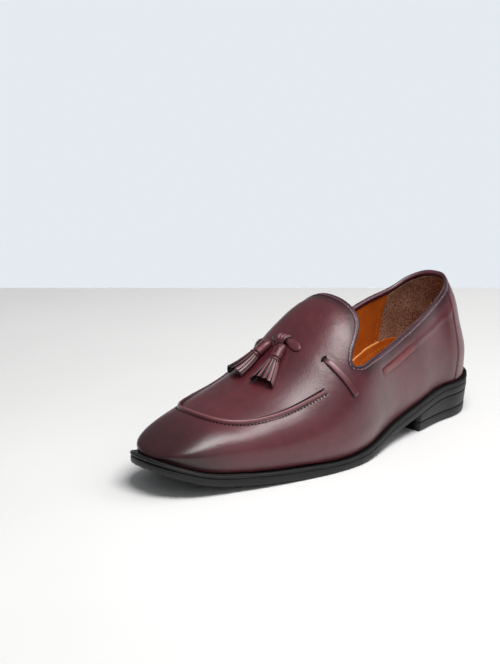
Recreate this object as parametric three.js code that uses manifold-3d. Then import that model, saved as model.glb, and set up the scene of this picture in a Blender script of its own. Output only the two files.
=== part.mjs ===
import * as THREE from 'three';
import Module from 'manifold-3d';

// A left shoe: a slip-on with an apron seam, lace strips and two tassels.
// Millimetres, +Z up, toe towards -Y, the wearer's left towards +X.

// Main sizes
const FOOT_LENGTH = 290;
const BALL_WIDTH = 93;
const CROWN_HEIGHT = 118;
const HEEL_RISE = 18.1;
const HEEL_AXIS = 36;
const HEEL_REACH = 34.2;
const HEEL_LENGTH = 74;
const BACK_BULGE = 0.5;
const BACK_HOLLOW = 1.6;

// Leather and rubber thicknesses
const GAP = 0.3;
const CLEAR = 0.45;
const LEG_CLEAR = 0.65;
const WALL = 1.9;
const STRIP_THICK = 1.3;
const COUNTER_THICK = 0.5;
const BINDING_THICK = 0.6;
const INSOLE_THICK = 2;
const SOLE_THICK = 7.9;
const SOLE_RIM = 3.7;
const LIFT_HEIGHT = 6.8;

// Widths of the trims
const BINDING_WIDTH = 4;
const SEAM_WIDTH = 3.4;
const SEAM_HEIGHT = 1.9;
const STRIP_WIDTH = 4.6;
const TASSEL_LENGTH = 34;
const TASSEL_CAP_LENGTH = 11.6;
const TASSEL_CAP_RADIUS = 4.6;
const SKIRT_SPREAD = 17;
const STRAND_WIDTH = 3;
const STRAND_THICK = 1.2;
const STRANDS = 7;
const KNOT_LENGTH = 26;
const KNOT_HALF = 3.7;

// Places along the foot
const KNOT_AT = 0.602 * FOOT_LENGTH;
const THROAT_FOOT = 0.572 * FOOT_LENGTH;
const COUNTER_REACH = 0.1 * FOOT_LENGTH;

// Shares that shape the form: where its steep lower part ends, where the wall's
// depth starts to turn at the toe, how much further the sole stands out there,
// where the width and the height start to close in at the toe, and which part
// of the heel's back is drawn in by BACK_HOLLOW
const FORM = {
  belly: 0.22,
  toe: 0.8,
  toeRim: 1.6,
  narrowing: { start: 0.9, power: 2.6 },
  lowering: { start: 0.86, power: 2.2 },
  hollow: { start: 0.18, height: 0.36 },
};

// Cross sections, a row per station. at is a share of FOOT_LENGTH.
// bend, half, bulge and lean are shares of BALL_WIDTH, belly and crown of
// CROWN_HEIGHT. rise is the sole's rise from the ground, a share of HEEL_RISE.
// round is the power of the section's curve.
const SECTION_COLUMNS = ['at', 'bend', 'half', 'rise', 'bulge', 'belly', 'crown', 'lean', 'round'];
const SECTION_ROWS = [
  [0.124, -0.027, 0.314, 1.0, 0.027, 0.178, 1.0, -0.004, 1.57],
  [0.25, 0.023, 0.327, 0.77, 0.031, 0.184, 1.0, -0.003, 2.1],
  [0.38, 0.053, 0.37, 0.354, 0.042, 0.186, 0.911, -0.006, 2.2],
  [0.5, 0.07, 0.472, 0.059, 0.054, 0.17, 0.86, -0.043, 2.2],
  [0.6, 0.058, 0.5, -0.006, 0.054, 0.144, 0.678, -0.065, 2.03],
  [0.68, 0.033, 0.488, 0.061, 0.047, 0.125, 0.53, -0.063, 2.0],
  [0.76, 0.01, 0.456, 0.127, 0.042, 0.108, 0.453, -0.053, 2.04],
  [0.84, -0.004, 0.398, 0.227, 0.037, 0.097, 0.398, -0.031, 2.16],
  [0.92, -0.013, 0.325, 0.42, 0.025, 0.082, 0.356, -0.011, 2.3],
  [1.0, -0.02, 0.256, 0.862, 0.02, 0.073, 0.312, 0, 2.38],
];
const SECTIONS = SECTION_ROWS.map((row) =>
  Object.fromEntries(SECTION_COLUMNS.map((name, i) => [name, row[i]])));

// The collar's edge from the back of the heel to the tip of the tongue.
// at is a share of FOOT_LENGTH, up the share of the way from sole edge to crown.
const TOPLINE = [
  { at: 0, up: 0.7 },
  { at: 0.043, up: 0.695 },
  { at: 0.078, up: 0.667 },
  { at: 0.114, up: 0.627 },
  { at: 0.142, up: 0.582 },
  { at: 0.18, up: 0.535 },
  { at: 0.228, up: 0.501 },
  { at: 0.276, up: 0.484 },
  { at: 0.345, up: 0.478 },
  { at: 0.431, up: 0.481 },
  { at: 0.487, up: 0.49 },
  { at: 0.524, up: 0.512 },
  { at: 0.535, up: 0.544, mark: 'vertex' },
  { at: 0.529, up: 0.576 },
  { at: 0.509, up: 0.613 },
  { at: 0.484, up: 0.652 },
  { at: 0.468, up: 0.697 },
  { at: 0.461, up: 0.755, mark: 'corner' },
  { at: 0.46, up: 0.83 },
  { at: 0.461, up: 0.92 },
  { at: 0.461, up: 1.0, mark: 'tip' },
];

// The raised apron seam from its end beside the lace strip to the front.
const APRON = [
  { at: 0.615, up: 0.536 },
  { at: 0.666, up: 0.556 },
  { at: 0.717, up: 0.568 },
  { at: 0.76, up: 0.582 },
  { at: 0.802, up: 0.615 },
  { at: 0.838, up: 0.682 },
  { at: 0.86, up: 0.787 },
  { at: 0.868, up: 0.9 },
  { at: 0.87, up: 1.0 },
];

// Lace strips on each side: over the vamp, and along the quarter.
const VAMP_STRIP = [
  { at: 0.583, up: 0.677 },
  { at: 0.569, up: 0.54 },
  { at: 0.548, up: 0.398 },
];
const QUARTER_STRIP = [
  { at: 0.431, up: 0.387 },
  { at: 0.35, up: 0.377 },
  { at: 0.288, up: 0.381 },
];

// The knot across the vamp, from its stub over the knob to its flat tab.
// across is a share of KNOT_LENGTH, half and tall are shares of KNOT_HALF.
const KNOT = [
  { across: -0.346, half: 0.41, tall: 0.38 },
  { across: -0.323, half: 0.57, tall: 0.49 },
  { across: -0.192, half: 0.65, tall: 0.57 },
  { across: -0.154, half: 0.89, tall: 0.81 },
  { across: -0.077, half: 1.0, tall: 0.97 },
  { across: 0.077, half: 1.0, tall: 1.0 },
  { across: 0.154, half: 0.89, tall: 0.86 },
  { across: 0.2, half: 0.5, tall: 0.57 },
  { across: 0.327, half: 0.58, tall: 0.49 },
  { across: 0.481, half: 0.66, tall: 0.43 },
  { across: 0.596, half: 0.55, tall: 0.4 },
  { across: 0.654, half: 0.33, tall: 0.35 },
];

// Where each tassel starts, as shares of FOOT_LENGTH and BALL_WIDTH, and its
// turn outwards from straight ahead in degrees. level is the share of its
// length that is left when it is seen from above.
const TASSELS = {
  tassel_left: { at: 0.618, across: 0.054, turn: 15.9, level: 0.8 },
  tassel_right: { at: 0.618, across: -0.081, turn: -16.5, level: 0.78 },
};

// The tassel cap along its length, shares of TASSEL_CAP_LENGTH and _RADIUS
const CAP = [
  { at: 0, size: 0.45 },
  { at: 0.12, size: 0.72 },
  { at: 0.4, size: 0.84 },
  { at: 0.72, size: 0.92 },
  { at: 0.78, size: 1.08 },
  { at: 0.94, size: 1.08 },
  { at: 1, size: 0.92 },
];

// Sides from the top down. drop is a share of the piece's height, inset a
// share of SOLE_RIM.
const SOLE_SIDE = [
  { drop: 0, inset: 0.22 },
  { drop: 0.08, inset: 0 },
  { drop: 0.28, inset: 0 },
  { drop: 0.34, inset: 0.24 },
  { drop: 0.42, inset: 0.08 },
  { drop: 0.87, inset: 0.08 },
  { drop: 1, inset: 0.32 },
];
const BLOCK_SIDE = [
  { drop: 0, inset: 0.32 },
  { drop: 0.06, inset: 0.22 },
  { drop: 0.94, inset: 0.46 },
  { drop: 1, inset: 0.62 },
];
const LIFT_SIDE = [
  { drop: 0, inset: 0.62 },
  { drop: 0.09, inset: 0.46 },
  { drop: 0.84, inset: 0.56 },
  { drop: 1, inset: 0.86 },
];

// A smooth curve through values, which can be level at its start
function spline(xs, ys, level = false) {
  const n = xs.length;
  const upper = new Array(n).fill(0);
  const right = new Array(n).fill(0);
  const first = xs[1] - xs[0];
  upper[0] = level ? 0.5 : 0;
  right[0] = level ? (3 / first) * ((ys[1] - ys[0]) / first) : 0;
  for (let i = 1; i < n - 1; i += 1) {
    const before = xs[i] - xs[i - 1];
    const after = xs[i + 1] - xs[i];
    const jump = (ys[i + 1] - ys[i]) / after - (ys[i] - ys[i - 1]) / before;
    const down = 2 * (before + after) - before * upper[i - 1];
    upper[i] = after / down;
    right[i] = (6 * jump - before * right[i - 1]) / down;
  }
  const curve = new Array(n).fill(0);
  for (let i = n - 2; i >= 0; i -= 1) {
    curve[i] = right[i] - upper[i] * curve[i + 1];
  }
  return (x) => {
    let i = 0;
    while (i < n - 2 && x > xs[i + 1]) i += 1;
    const wide = xs[i + 1] - xs[i];
    const a = (xs[i + 1] - x) / wide;
    const b = 1 - a;
    const cubic = (a ** 3 - a) * curve[i] + (b ** 3 - b) * curve[i + 1];
    return a * ys[i] + b * ys[i + 1] + (cubic * wide * wide) / 6;
  };
}

const SIZE_OF = {
  bend: BALL_WIDTH,
  half: BALL_WIDTH,
  rise: HEEL_RISE,
  bulge: BALL_WIDTH,
  belly: CROWN_HEIGHT,
  crown: CROWN_HEIGHT,
  lean: BALL_WIDTH,
  round: 1,
};
const columns = {};
for (const name of Object.keys(SIZE_OF)) {
  const values = SECTIONS.map((row) => row[name] * SIZE_OF[name]);
  columns[name] = spline(SECTIONS.map((row) => row.at), values, true);
}

function sectionAt(k) {
  const share = Math.max(k / FOOT_LENGTH, SECTIONS[0].at);
  const row = {};
  for (const name of Object.keys(columns)) row[name] = columns[name](share);
  row.edge = SOLE_THICK + row.rise;
  return row;
}

// How widths and heights close in towards the tip of the toe
function closing(k, { start, power }) {
  const share = Math.min(Math.max((k / FOOT_LENGTH - start) / (1 - start), 0), 1);
  return Math.max(1 - share ** power, 0) ** (1 / power);
}

// A point of the shoe's form. k runs from the heel's back (0) to the toe tip
// (FOOT_LENGTH), up from the sole's edge (0) to the crown (1), side is 1 for
// the outer side and -1 for the inner one, inset is the depth below the form.
function formPoint(k, up, side, inset = 0) {
  const row = sectionAt(k);
  const narrow = closing(k, FORM.narrowing);
  const low = closing(k, FORM.lowering);
  const half = (row.half - inset) * narrow;
  const belly = row.belly * low;
  const rise = (row.crown - row.edge - row.belly - inset) * low;
  const toe = Math.max(k / FOOT_LENGTH - FORM.toe, 0) / (1 - FORM.toe);
  const turn = Math.max(1 - k / HEEL_AXIS, 0) * (Math.PI / 2);
  const along = Math.sin(turn);
  const across = Math.cos(turn);
  let foot = half;
  if (turn > 0) foot = 1 / Math.hypot(across / half, along / (HEEL_REACH - inset));
  const bulge = row.bulge * narrow;
  const wide = foot + bulge + (BACK_BULGE - bulge) * along;
  const below = Math.min(up / FORM.belly, 1);
  const angle = (Math.max(up - FORM.belly, 0) / (1 - FORM.belly)) * (Math.PI / 2);
  const c = Math.cos(angle);
  const s = Math.sin(angle);
  const power = (c ** row.round + s ** row.round) ** (-1 / row.round);
  let reach = wide * c * power;
  if (up < FORM.belly) reach = foot + (wide - foot) * Math.sin((below * Math.PI) / 2);
  const hollow = Math.min(Math.max((up - FORM.hollow.start) / FORM.hollow.height, 0), 1);
  reach -= BACK_HOLLOW * along * (2 - along) * Math.sin(hollow * Math.PI) ** 2;
  const tilt = (1 - c * power) * row.lean * narrow;
  let fromHeel = k - inset * toe ** 2 * (inset < 0 ? FORM.toeRim : 1);
  if (turn > 0) fromHeel = HEEL_AXIS - reach * along;
  const x = row.bend + tilt + side * reach * across;
  const z = sectionAt(fromHeel).edge + belly * below + rise * s * power;
  return new THREE.Vector3(x, FOOT_LENGTH / 2 - fromHeel, z);
}

const at = (node, inset = 0) => formPoint(node.k, node.up, node.side, inset);

// Directions of the form at a node: along k, along up and straight out
function slopes(node) {
  const step = 0.25;
  const high = Math.min(node.k + step, FOOT_LENGTH);
  const low = Math.max(node.k - step, 0);
  const alongK = at({ ...node, k: high }).sub(at({ ...node, k: low }));
  alongK.divideScalar(high - low);
  const top = Math.min(node.up + 0.002, 1);
  const alongUp = at({ ...node, up: top }).sub(at({ ...node, up: node.up - 0.002 }));
  alongUp.divideScalar(top - node.up + 0.002);
  const out = new THREE.Vector3().crossVectors(alongUp, alongK).normalize();
  out.multiplyScalar(node.side);
  return { alongK, alongUp, out };
}

// The node reached by going a short way over the form
function walk(node, way) {
  const { alongK, alongUp } = slopes(node);
  const kk = alongK.dot(alongK);
  const uu = alongUp.dot(alongUp);
  const ku = alongK.dot(alongUp);
  const wk = way.dot(alongK);
  const wu = way.dot(alongUp);
  const size = kk * uu - ku * ku;
  const k = node.k + (wk * uu - wu * ku) / size;
  const up = node.up + (wu * kk - wk * ku) / size;
  return { k: Math.max(k, 0), up: Math.min(up, 1), side: node.side };
}

// A smooth line over the form through a table's rows, one side
function lineThrough(rows) {
  const gone = [0];
  for (let i = 1; i < rows.length; i += 1) {
    const dk = (rows[i].at - rows[i - 1].at) * FOOT_LENGTH;
    const du = (rows[i].up - rows[i - 1].up) * BALL_WIDTH;
    gone.push(gone[i - 1] + Math.hypot(dk, du));
  }
  const k = spline(gone, rows.map((row) => row.at * FOOT_LENGTH));
  const up = spline(gone, rows.map((row) => row.up));
  const line = (g) => ({ k: Math.max(k(g), 0), up: Math.min(up(g), 1), side: 1 });
  line.gone = gone;
  return line;
}

// Evenly spread nodes of a line between two rows
function spread(line, start, end, count) {
  const nodes = [];
  for (let i = 0; i <= count; i += 1) {
    nodes.push(line(line.gone[start] + ((line.gone[end] - line.gone[start]) * i) / count));
  }
  return nodes;
}

const mirrored = (node) => ({ ...node, side: -node.side });

// A closed solid collected from faces, with shared points
class Solid {
  constructor() {
    this.points = [];
    this.faces = [];
    this.known = new Map();
  }

  point(p) {
    const key = `${Math.round(p.x * 2000)} ${Math.round(p.y * 2000)} ${Math.round(p.z * 2000)}`;
    if (!this.known.has(key)) {
      this.known.set(key, this.points.length);
      this.points.push(p.clone());
    }
    return this.known.get(key);
  }

  triangle(a, b, c) {
    if (a !== b && b !== c && c !== a) this.faces.push([a, b, c]);
  }

  quad(a, b, c, d) {
    const one = this.points[a].distanceTo(this.points[c]);
    const two = this.points[b].distanceTo(this.points[d]);
    if (one <= two + 1e-6) {
      this.triangle(a, b, c);
      this.triangle(a, c, d);
    } else {
      this.triangle(a, b, d);
      this.triangle(b, c, d);
    }
  }

  // Faces between rings of points, open or closed on themselves
  loft(rings, closed) {
    const index = rings.map((ring) => ring.map((p) => this.point(p)));
    const count = rings.length;
    const round = rings[0].length;
    for (let i = 0; i < (closed ? count : count - 1); i += 1) {
      const here = index[i];
      const next = index[(i + 1) % count];
      for (let j = 0; j < round; j += 1) {
        const after = (j + 1) % round;
        this.quad(here[j], next[j], next[after], here[after]);
      }
    }
    if (!closed) {
      this.fan(rings[0], index[0]);
      this.fan(rings[count - 1], [...index[count - 1]].reverse());
    }
    return this;
  }

  fan(ring, index) {
    const middle = new THREE.Vector3();
    for (const p of ring) middle.addScaledVector(p, 1 / ring.length);
    const centre = this.point(middle);
    for (let j = 0; j < index.length; j += 1) {
      this.triangle(centre, index[j], index[(j + 1) % index.length]);
    }
  }

  volume() {
    let sum = 0;
    for (const [a, b, c] of this.faces) {
      const cross = new THREE.Vector3().crossVectors(this.points[b], this.points[c]);
      sum += this.points[a].dot(cross) / 6;
    }
    return sum;
  }

  facingOut() {
    if (this.volume() < 0) this.faces = this.faces.map(([a, b, c]) => [a, c, b]);
    return this;
  }

  geometry() {
    this.facingOut();
    const geometry = new THREE.BufferGeometry();
    const values = this.points.flatMap((p) => [p.x, p.y, p.z]);
    geometry.setAttribute('position', new THREE.Float32BufferAttribute(values, 3));
    geometry.setIndex(this.faces.flat());
    geometry.computeVertexNormals();
    return geometry;
  }
}

// A sheet over the form between two depths. cells are rings of nodes that
// turn the same way on the outer side.
function sheet(cells, outer, inner) {
  const solid = new Solid();
  const below = new Map();
  const edges = new Map();
  const start = [];
  for (const cell of cells) {
    const turned = cell[0].side > 0 ? cell : [...cell].reverse();
    const top = turned.map((node) => solid.point(at(node, outer)));
    turned.forEach((node, i) => below.set(top[i], at(node, inner)));
    start.push(top);
  }
  for (const top of start) solid.quad(...top);
  const upper = [...solid.faces];
  for (const [a, b, c] of upper) {
    for (const [from, to] of [[a, b], [b, c], [c, a]]) edges.set(`${from} ${to}`, [from, to]);
  }
  const under = new Map();
  for (const [index, p] of below) under.set(index, solid.point(p));
  for (const [a, b, c] of upper) solid.triangle(under.get(c), under.get(b), under.get(a));
  for (const [from, to] of edges.values()) {
    if (!edges.has(`${to} ${from}`)) {
      solid.triangle(to, from, under.get(from));
      solid.triangle(to, under.get(from), under.get(to));
    }
  }
  return solid;
}

// Cells between neighbouring columns of nodes
function cellsOf(nodeColumns) {
  const cells = [];
  for (let i = 0; i + 1 < nodeColumns.length; i += 1) {
    const here = nodeColumns[i];
    const next = nodeColumns[i + 1];
    for (let j = 0; j + 1 < here.length; j += 1) {
      cells.push([here[j], next[j], next[j + 1], here[j + 1]]);
    }
  }
  return cells;
}

const bothSides = (cells) => [...cells, ...cells.map((cell) => cell.map(mirrored))];

const mix = (a, b, share) => a + (b - a) * share;

// Collar edge nodes: along the quarter, up the tongue's side, over its end
const collar = lineThrough(TOPLINE);
const rowOf = (mark) => TOPLINE.findIndex((row) => row.mark === mark);
const STRAIGHT_ROW = 9;
const HEEL_COLUMNS = 7;
const SEAT_COLUMNS = 4;
const SIDE_COLUMNS = 5;
const THROAT_COLUMNS = 5;
const TONGUE_COLUMNS = 6;
const TONGUE_ROWS = 6;
const LOW_ROWS = 2;
const SIDE_ROWS = 9;
const VAMP_COLUMNS = 17;

const collarAt = (k) => {
  let low = 0;
  let high = collar.gone[STRAIGHT_ROW];
  for (let i = 0; i < 40; i += 1) {
    const middle = (low + high) / 2;
    if (collar(middle).k < k) low = middle;
    else high = middle;
  }
  return { ...collar(low), k };
};
const quarterTop = [];
for (let i = 0; i < HEEL_COLUMNS; i += 1) quarterTop.push(collarAt((HEEL_AXIS * i) / HEEL_COLUMNS));
const straightK = TOPLINE[STRAIGHT_ROW].at * FOOT_LENGTH;
for (let i = 0; i < SEAT_COLUMNS; i += 1) {
  quarterTop.push(collarAt(mix(HEEL_AXIS, HEEL_LENGTH, i / SEAT_COLUMNS)));
}
for (let i = 0; i < SIDE_COLUMNS; i += 1) {
  quarterTop.push(collarAt(mix(HEEL_LENGTH, straightK, i / SIDE_COLUMNS)));
}
quarterTop.push(...spread(collar, STRAIGHT_ROW, rowOf('vertex'), THROAT_COLUMNS));
const throat = quarterTop[quarterTop.length - 1];
const tongueSide = spread(collar, rowOf('vertex'), rowOf('corner'), TONGUE_COLUMNS);
const tongueEnd = spread(collar, rowOf('corner'), rowOf('tip'), TONGUE_ROWS);

// Quarter: columns from the sole's edge to the collar
function sideColumn(foot, top) {
  const column = [];
  for (let j = 0; j <= SIDE_ROWS; j += 1) {
    let up = (FORM.belly * j) / LOW_ROWS;
    if (j > LOW_ROWS) up = mix(FORM.belly, top.up, (j - LOW_ROWS) / (SIDE_ROWS - LOW_ROWS));
    column.push({ k: mix(foot, top.k, up / top.up), up, side: 1 });
  }
  return column;
}
const throatStart = HEEL_COLUMNS + SEAT_COLUMNS + SIDE_COLUMNS;
const quarter = quarterTop.map((top, i) => {
  const share = Math.max(i - throatStart, 0) / THROAT_COLUMNS;
  const foot = i > throatStart ? mix(straightK, THROAT_FOOT, share) : top.k;
  return sideColumn(foot, top);
});

// Vamp: columns from the sole's edge to the crown
const vamp = [];
for (let i = 0; i <= VAMP_COLUMNS; i += 1) {
  const share = Math.sin(((i / VAMP_COLUMNS) * Math.PI) / 2);
  const foot = mix(THROAT_FOOT, FOOT_LENGTH, share);
  const top = mix(throat.k, FOOT_LENGTH, share);
  const even = Math.min(i / 5, 1);
  const column = [];
  const rows = SIDE_ROWS + TONGUE_ROWS;
  for (let j = 0; j <= rows; j += 1) {
    let up = quarter[quarter.length - 1][Math.min(j, SIDE_ROWS)].up;
    if (j > SIDE_ROWS) up = mix(throat.up, 1, (j - SIDE_ROWS) / TONGUE_ROWS);
    if (j > LOW_ROWS) up = mix(up, mix(FORM.belly, 1, (j - LOW_ROWS) / (rows - LOW_ROWS)), even);
    const skew = Math.max(1 - up / throat.up, 0);
    column.push({ k: mix(top, foot, skew), up, side: 1 });
  }
  vamp.push(column);
}

// Tongue: a patch between its side edge, its end, the crown and the vamp
const tongue = [];
for (let i = 0; i <= TONGUE_COLUMNS; i += 1) {
  const column = [];
  for (let j = 0; j <= TONGUE_ROWS; j += 1) {
    const s = i / TONGUE_COLUMNS;
    const r = j / TONGUE_ROWS;
    const node = { side: 1 };
    for (const name of ['k', 'up']) {
      const low = tongueSide[i][name];
      const last = tongueEnd[TONGUE_ROWS][name];
      const high = name === 'k' ? mix(throat.k, last, s) : 1;
      const front = name === 'k' ? throat.k : mix(throat.up, 1, r);
      const back = tongueEnd[j][name];
      const frontHigh = name === 'k' ? throat.k : 1;
      const corners = mix(mix(throat[name], tongueEnd[0][name], s), mix(frontHigh, last, s), r);
      node[name] = mix(low, high, r) + mix(front, back, s) - corners;
    }
    node.up = Math.min(node.up, 1);
    column.push(node);
  }
  tongue.push(column);
}

function makeUpper() {
  const cells = [...cellsOf(quarter), ...cellsOf(vamp), ...cellsOf([...tongue].reverse())];
  return sheet(bothSides(cells), 0, WALL);
}

// The collar's loop, outer side forward and inner side back
const loopSide = [...quarterTop, ...tongueSide.slice(1), ...tongueEnd.slice(1)];
const collarLoop = [...loopSide, ...loopSide.slice(1, -1).map(mirrored).reverse()];

function makeBinding() {
  const count = collarLoop.length;
  const rings = collarLoop.map((node, i) => {
    const before = at(collarLoop[(i + count - 1) % count]);
    const after = at(collarLoop[(i + 1) % count]);
    const { out } = slopes(node);
    const down = new THREE.Vector3().crossVectors(out, after.sub(before)).normalize();
    const leg = walk(node, down.clone().multiplyScalar(BINDING_WIDTH));
    const raised = (inset, height) => at(node, inset).addScaledVector(down, -height);
    const outside = -GAP - BINDING_THICK;
    const inside = WALL + GAP + BINDING_THICK;
    return [
      at(leg, -LEG_CLEAR),
      at(leg, outside - BINDING_THICK * 0.33),
      at(node, outside),
      raised(outside + BINDING_THICK * 0.67, GAP + BINDING_THICK * 0.5),
      raised(WALL / 2, GAP + BINDING_THICK),
      raised(inside - BINDING_THICK * 0.67, GAP + BINDING_THICK * 0.5),
      at(node, inside),
      at(leg, inside + BINDING_THICK * 0.33),
      at(leg, WALL + LEG_CLEAR),
      raised(WALL + GAP, GAP),
      raised(-GAP, GAP),
    ];
  });
  return new Solid().loft(rings, true);
}

// Piece over the back of the heel, below the collar's binding
function makeCounter() {
  const nodeColumns = [];
  const count = 7;
  for (let i = 0; i <= count; i += 1) {
    const k = (COUNTER_REACH * i) / count;
    const top = collarAt(k);
    const { alongUp } = slopes(top);
    const down = alongUp.clone().normalize().multiplyScalar(-BINDING_WIDTH - 2 * GAP);
    const high = walk(top, down).up;
    const column = [];
    for (const share of [0, 0.1, 0.2, 0.33, 0.46, 0.6, 0.73, 0.87, 1]) {
      const up = mix(0.03, high, share);
      column.push({ k: k * (1 + 0.06 * (1 - share)), up, side: 1 });
    }
    nodeColumns.push(column);
  }
  return sheet(bothSides(cellsOf(nodeColumns)), -CLEAR - COUNTER_THICK, -CLEAR);
}

// A raised strip over the form with a domed top
function strip(nodes, width, height, endShare) {
  const count = nodes.length;
  const rings = nodes.map((node, i) => {
    const before = at(nodes[Math.max(i - 1, 0)]);
    const after = at(nodes[Math.min(i + 1, count - 1)]);
    const { out } = slopes(node);
    const across = new THREE.Vector3().crossVectors(out, after.sub(before)).normalize();
    const reach = (share) => walk(node, across.clone().multiplyScalar(share * width));
    const left = reach(-0.5);
    const right = reach(0.5);
    const first = i === 0 || i === count - 1;
    const tall = CLEAR + height * (first ? endShare : 1);
    const shoulder = mix(CLEAR, tall, 0.62);
    return [
      at(left, -CLEAR),
      at(left, -shoulder),
      at(reach(-0.3), -tall),
      at(reach(0.3), -tall),
      at(right, -shoulder),
      at(right, -CLEAR),
      at(node, -CLEAR),
    ];
  });
  return new Solid().loft(rings, false);
}

function makeSeam() {
  const line = lineThrough(APRON);
  const half = spread(line, 0, APRON.length - 1, 20);
  const nodes = [...half, ...half.slice(0, -1).map(mirrored).reverse()];
  return strip(nodes, SEAM_WIDTH, SEAM_HEIGHT, 0.7);
}

function makeStrip(rows, side) {
  const nodes = spread(lineThrough(rows), 0, rows.length - 1, 8);
  return strip(nodes.map((node) => ({ ...node, side })), STRIP_WIDTH, STRIP_THICK, 0.4);
}

// Stations shared by the flat pieces underneath
const footStations = [...quarter, ...vamp.slice(1)].map((column) => column[0].k);
const heelStations = footStations.filter((k) => k < HEEL_LENGTH + 0.01);

const soleTop = (k) => sectionAt(k).edge - GAP;
const soleBottom = (k) => Math.max(soleTop(k) - SOLE_THICK, 0);

// Rings of a side between a top and a base, each a function of k
const sideRings = (rows, top, base) => rows.map(({ drop, inset }) => ({
  inset: (inset - 1) * SOLE_RIM,
  height: (k) => mix(top(k), base(k), drop),
}));

// A solid with the foot's outline, from rings of a depth and a height
function outlineSolid(stations, rings) {
  const solid = new Solid();
  const levels = rings.map(({ inset, height }) => {
    const level = {};
    for (const side of [1, -1]) {
      level[side] = stations.map((k) => {
        const p = formPoint(k, 0, side, inset);
        p.z = height(FOOT_LENGTH / 2 - p.y);
        return solid.point(p);
      });
    }
    return level;
  });
  for (let r = 0; r + 1 < levels.length; r += 1) {
    const high = levels[r];
    const low = levels[r + 1];
    for (let i = 0; i + 1 < stations.length; i += 1) {
      solid.quad(high[1][i], low[1][i], low[1][i + 1], high[1][i + 1]);
      solid.quad(high[-1][i + 1], low[-1][i + 1], low[-1][i], high[-1][i]);
    }
    const last = stations.length - 1;
    solid.quad(high[1][last], low[1][last], low[-1][last], high[-1][last]);
  }
  const top = levels[0];
  const base = levels[levels.length - 1];
  for (let i = 0; i + 1 < stations.length; i += 1) {
    solid.quad(top[1][i], top[1][i + 1], top[-1][i + 1], top[-1][i]);
    solid.quad(base[-1][i], base[-1][i + 1], base[1][i + 1], base[1][i]);
  }
  return solid;
}

function makeInsole() {
  const edge = (k) => sectionAt(k).edge;
  return outlineSolid(footStations, [
    { inset: WALL + GAP + INSOLE_THICK * 0.9, height: (k) => edge(k) + INSOLE_THICK },
    { inset: WALL + GAP + INSOLE_THICK * 0.3, height: (k) => edge(k) + INSOLE_THICK * 0.75 },
    { inset: WALL + GAP, height: edge },
  ]);
}

function makeOutsole() {
  return outlineSolid(footStations, sideRings(SOLE_SIDE, soleTop, soleBottom));
}

function makeHeelBlock() {
  const top = (k) => soleBottom(k) - GAP;
  return outlineSolid(heelStations, sideRings(BLOCK_SIDE, top, () => LIFT_HEIGHT + GAP));
}

function makeHeelLift() {
  return outlineSolid(heelStations, sideRings(LIFT_SIDE, () => LIFT_HEIGHT, () => 0));
}

// A point above the vamp at a distance from heel and centre
function overVamp(fromHeel, x, height) {
  const row = sectionAt(fromHeel);
  const side = x >= row.bend + row.lean ? 1 : -1;
  let low = FORM.belly;
  let high = 1;
  for (let i = 0; i < 30; i += 1) {
    const middle = (low + high) / 2;
    if ((formPoint(fromHeel, middle, side).x - x) * side > 0) low = middle;
    else high = middle;
  }
  const node = { k: fromHeel, up: low, side };
  return at(node).addScaledVector(slopes(node).out, height);
}

const ROUND_POINTS = 10;

function roundRing(place) {
  const ring = [];
  for (let j = 0; j < ROUND_POINTS; j += 1) {
    const angle = (j / ROUND_POINTS) * 2 * Math.PI;
    ring.push(place(Math.cos(angle), 1 + Math.sin(angle)));
  }
  return ring;
}

function makeKnot() {
  const lowest = GAP * 1.33;
  const rings = KNOT.map(({ across, half, tall }) => roundRing((along, high) => {
    const fromHeel = KNOT_AT + along * half * KNOT_HALF;
    return overVamp(fromHeel, across * KNOT_LENGTH, lowest + (high * tall * KNOT_HALF) / 2);
  }));
  return new Solid().loft(rings, false);
}

function makeTassel(wasm, row) {
  const turn = THREE.MathUtils.degToRad(row.turn);
  const place = (along, across, height) => {
    const far = along * row.level;
    const fromHeel = row.at * FOOT_LENGTH + far * Math.cos(turn) - across * Math.sin(turn);
    const x = row.across * BALL_WIDTH + far * Math.sin(turn) + across * Math.cos(turn);
    return overVamp(fromHeel, x, height);
  };
  const lowest = GAP * 1.5;
  const capRings = CAP.map(({ at: share, size }) => {
    const radius = TASSEL_CAP_RADIUS * size;
    return roundRing((across, high) =>
      place(TASSEL_CAP_LENGTH * share, across * radius, lowest + high * radius * 0.85));
  });
  const solids = [new Solid().loft(capRings, false)];
  const half = STRAND_WIDTH / 2;
  for (let i = 0; i < STRANDS; i += 1) {
    const side = (i / (STRANDS - 1)) * 2 - 1;
    const raised = i % 2 === 1;
    const end = TASSEL_LENGTH * (raised ? 0.95 : 1);
    const held = TASSEL_CAP_RADIUS * (raised ? 0.96 : 0.48);
    const landed = lowest + STRAND_THICK * (raised ? 1.45 : 0);
    const rings = [0, 0.25, 0.6, 1].map((share) => {
      const along = mix(TASSEL_CAP_LENGTH * 0.7, end, share);
      const apart = mix(TASSEL_CAP_RADIUS * 0.62, SKIRT_SPREAD / 2 - half, share ** 0.8);
      const centre = side * apart;
      const height = mix(held, landed, share ** 0.8);
      const high = height + STRAND_THICK;
      return [
        place(along, centre - half, height),
        place(along, centre + half, height),
        place(along, centre + half, high),
        place(along, centre - half, high),
      ];
    });
    solids.push(new Solid().loft(rings, false));
  }
  const parts = solids.map((solid) => {
    solid.facingOut();
    const values = solid.points.flatMap((p) => [p.x, p.y, p.z]);
    return new wasm.Manifold(new wasm.Mesh({
      numProp: 3,
      vertProperties: new Float32Array(values),
      triVerts: new Uint32Array(solid.faces.flat()),
    }));
  });
  const joined = parts.reduce((sum, part) => sum.add(part)).getMesh();
  const geometry = new THREE.BufferGeometry();
  const values = Float32Array.from(joined.vertProperties);
  geometry.setAttribute('position', new THREE.BufferAttribute(values, 3));
  geometry.setIndex([...joined.triVerts]);
  geometry.computeVertexNormals();
  return geometry;
}

const wasm = await Module();
wasm.setup();

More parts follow.
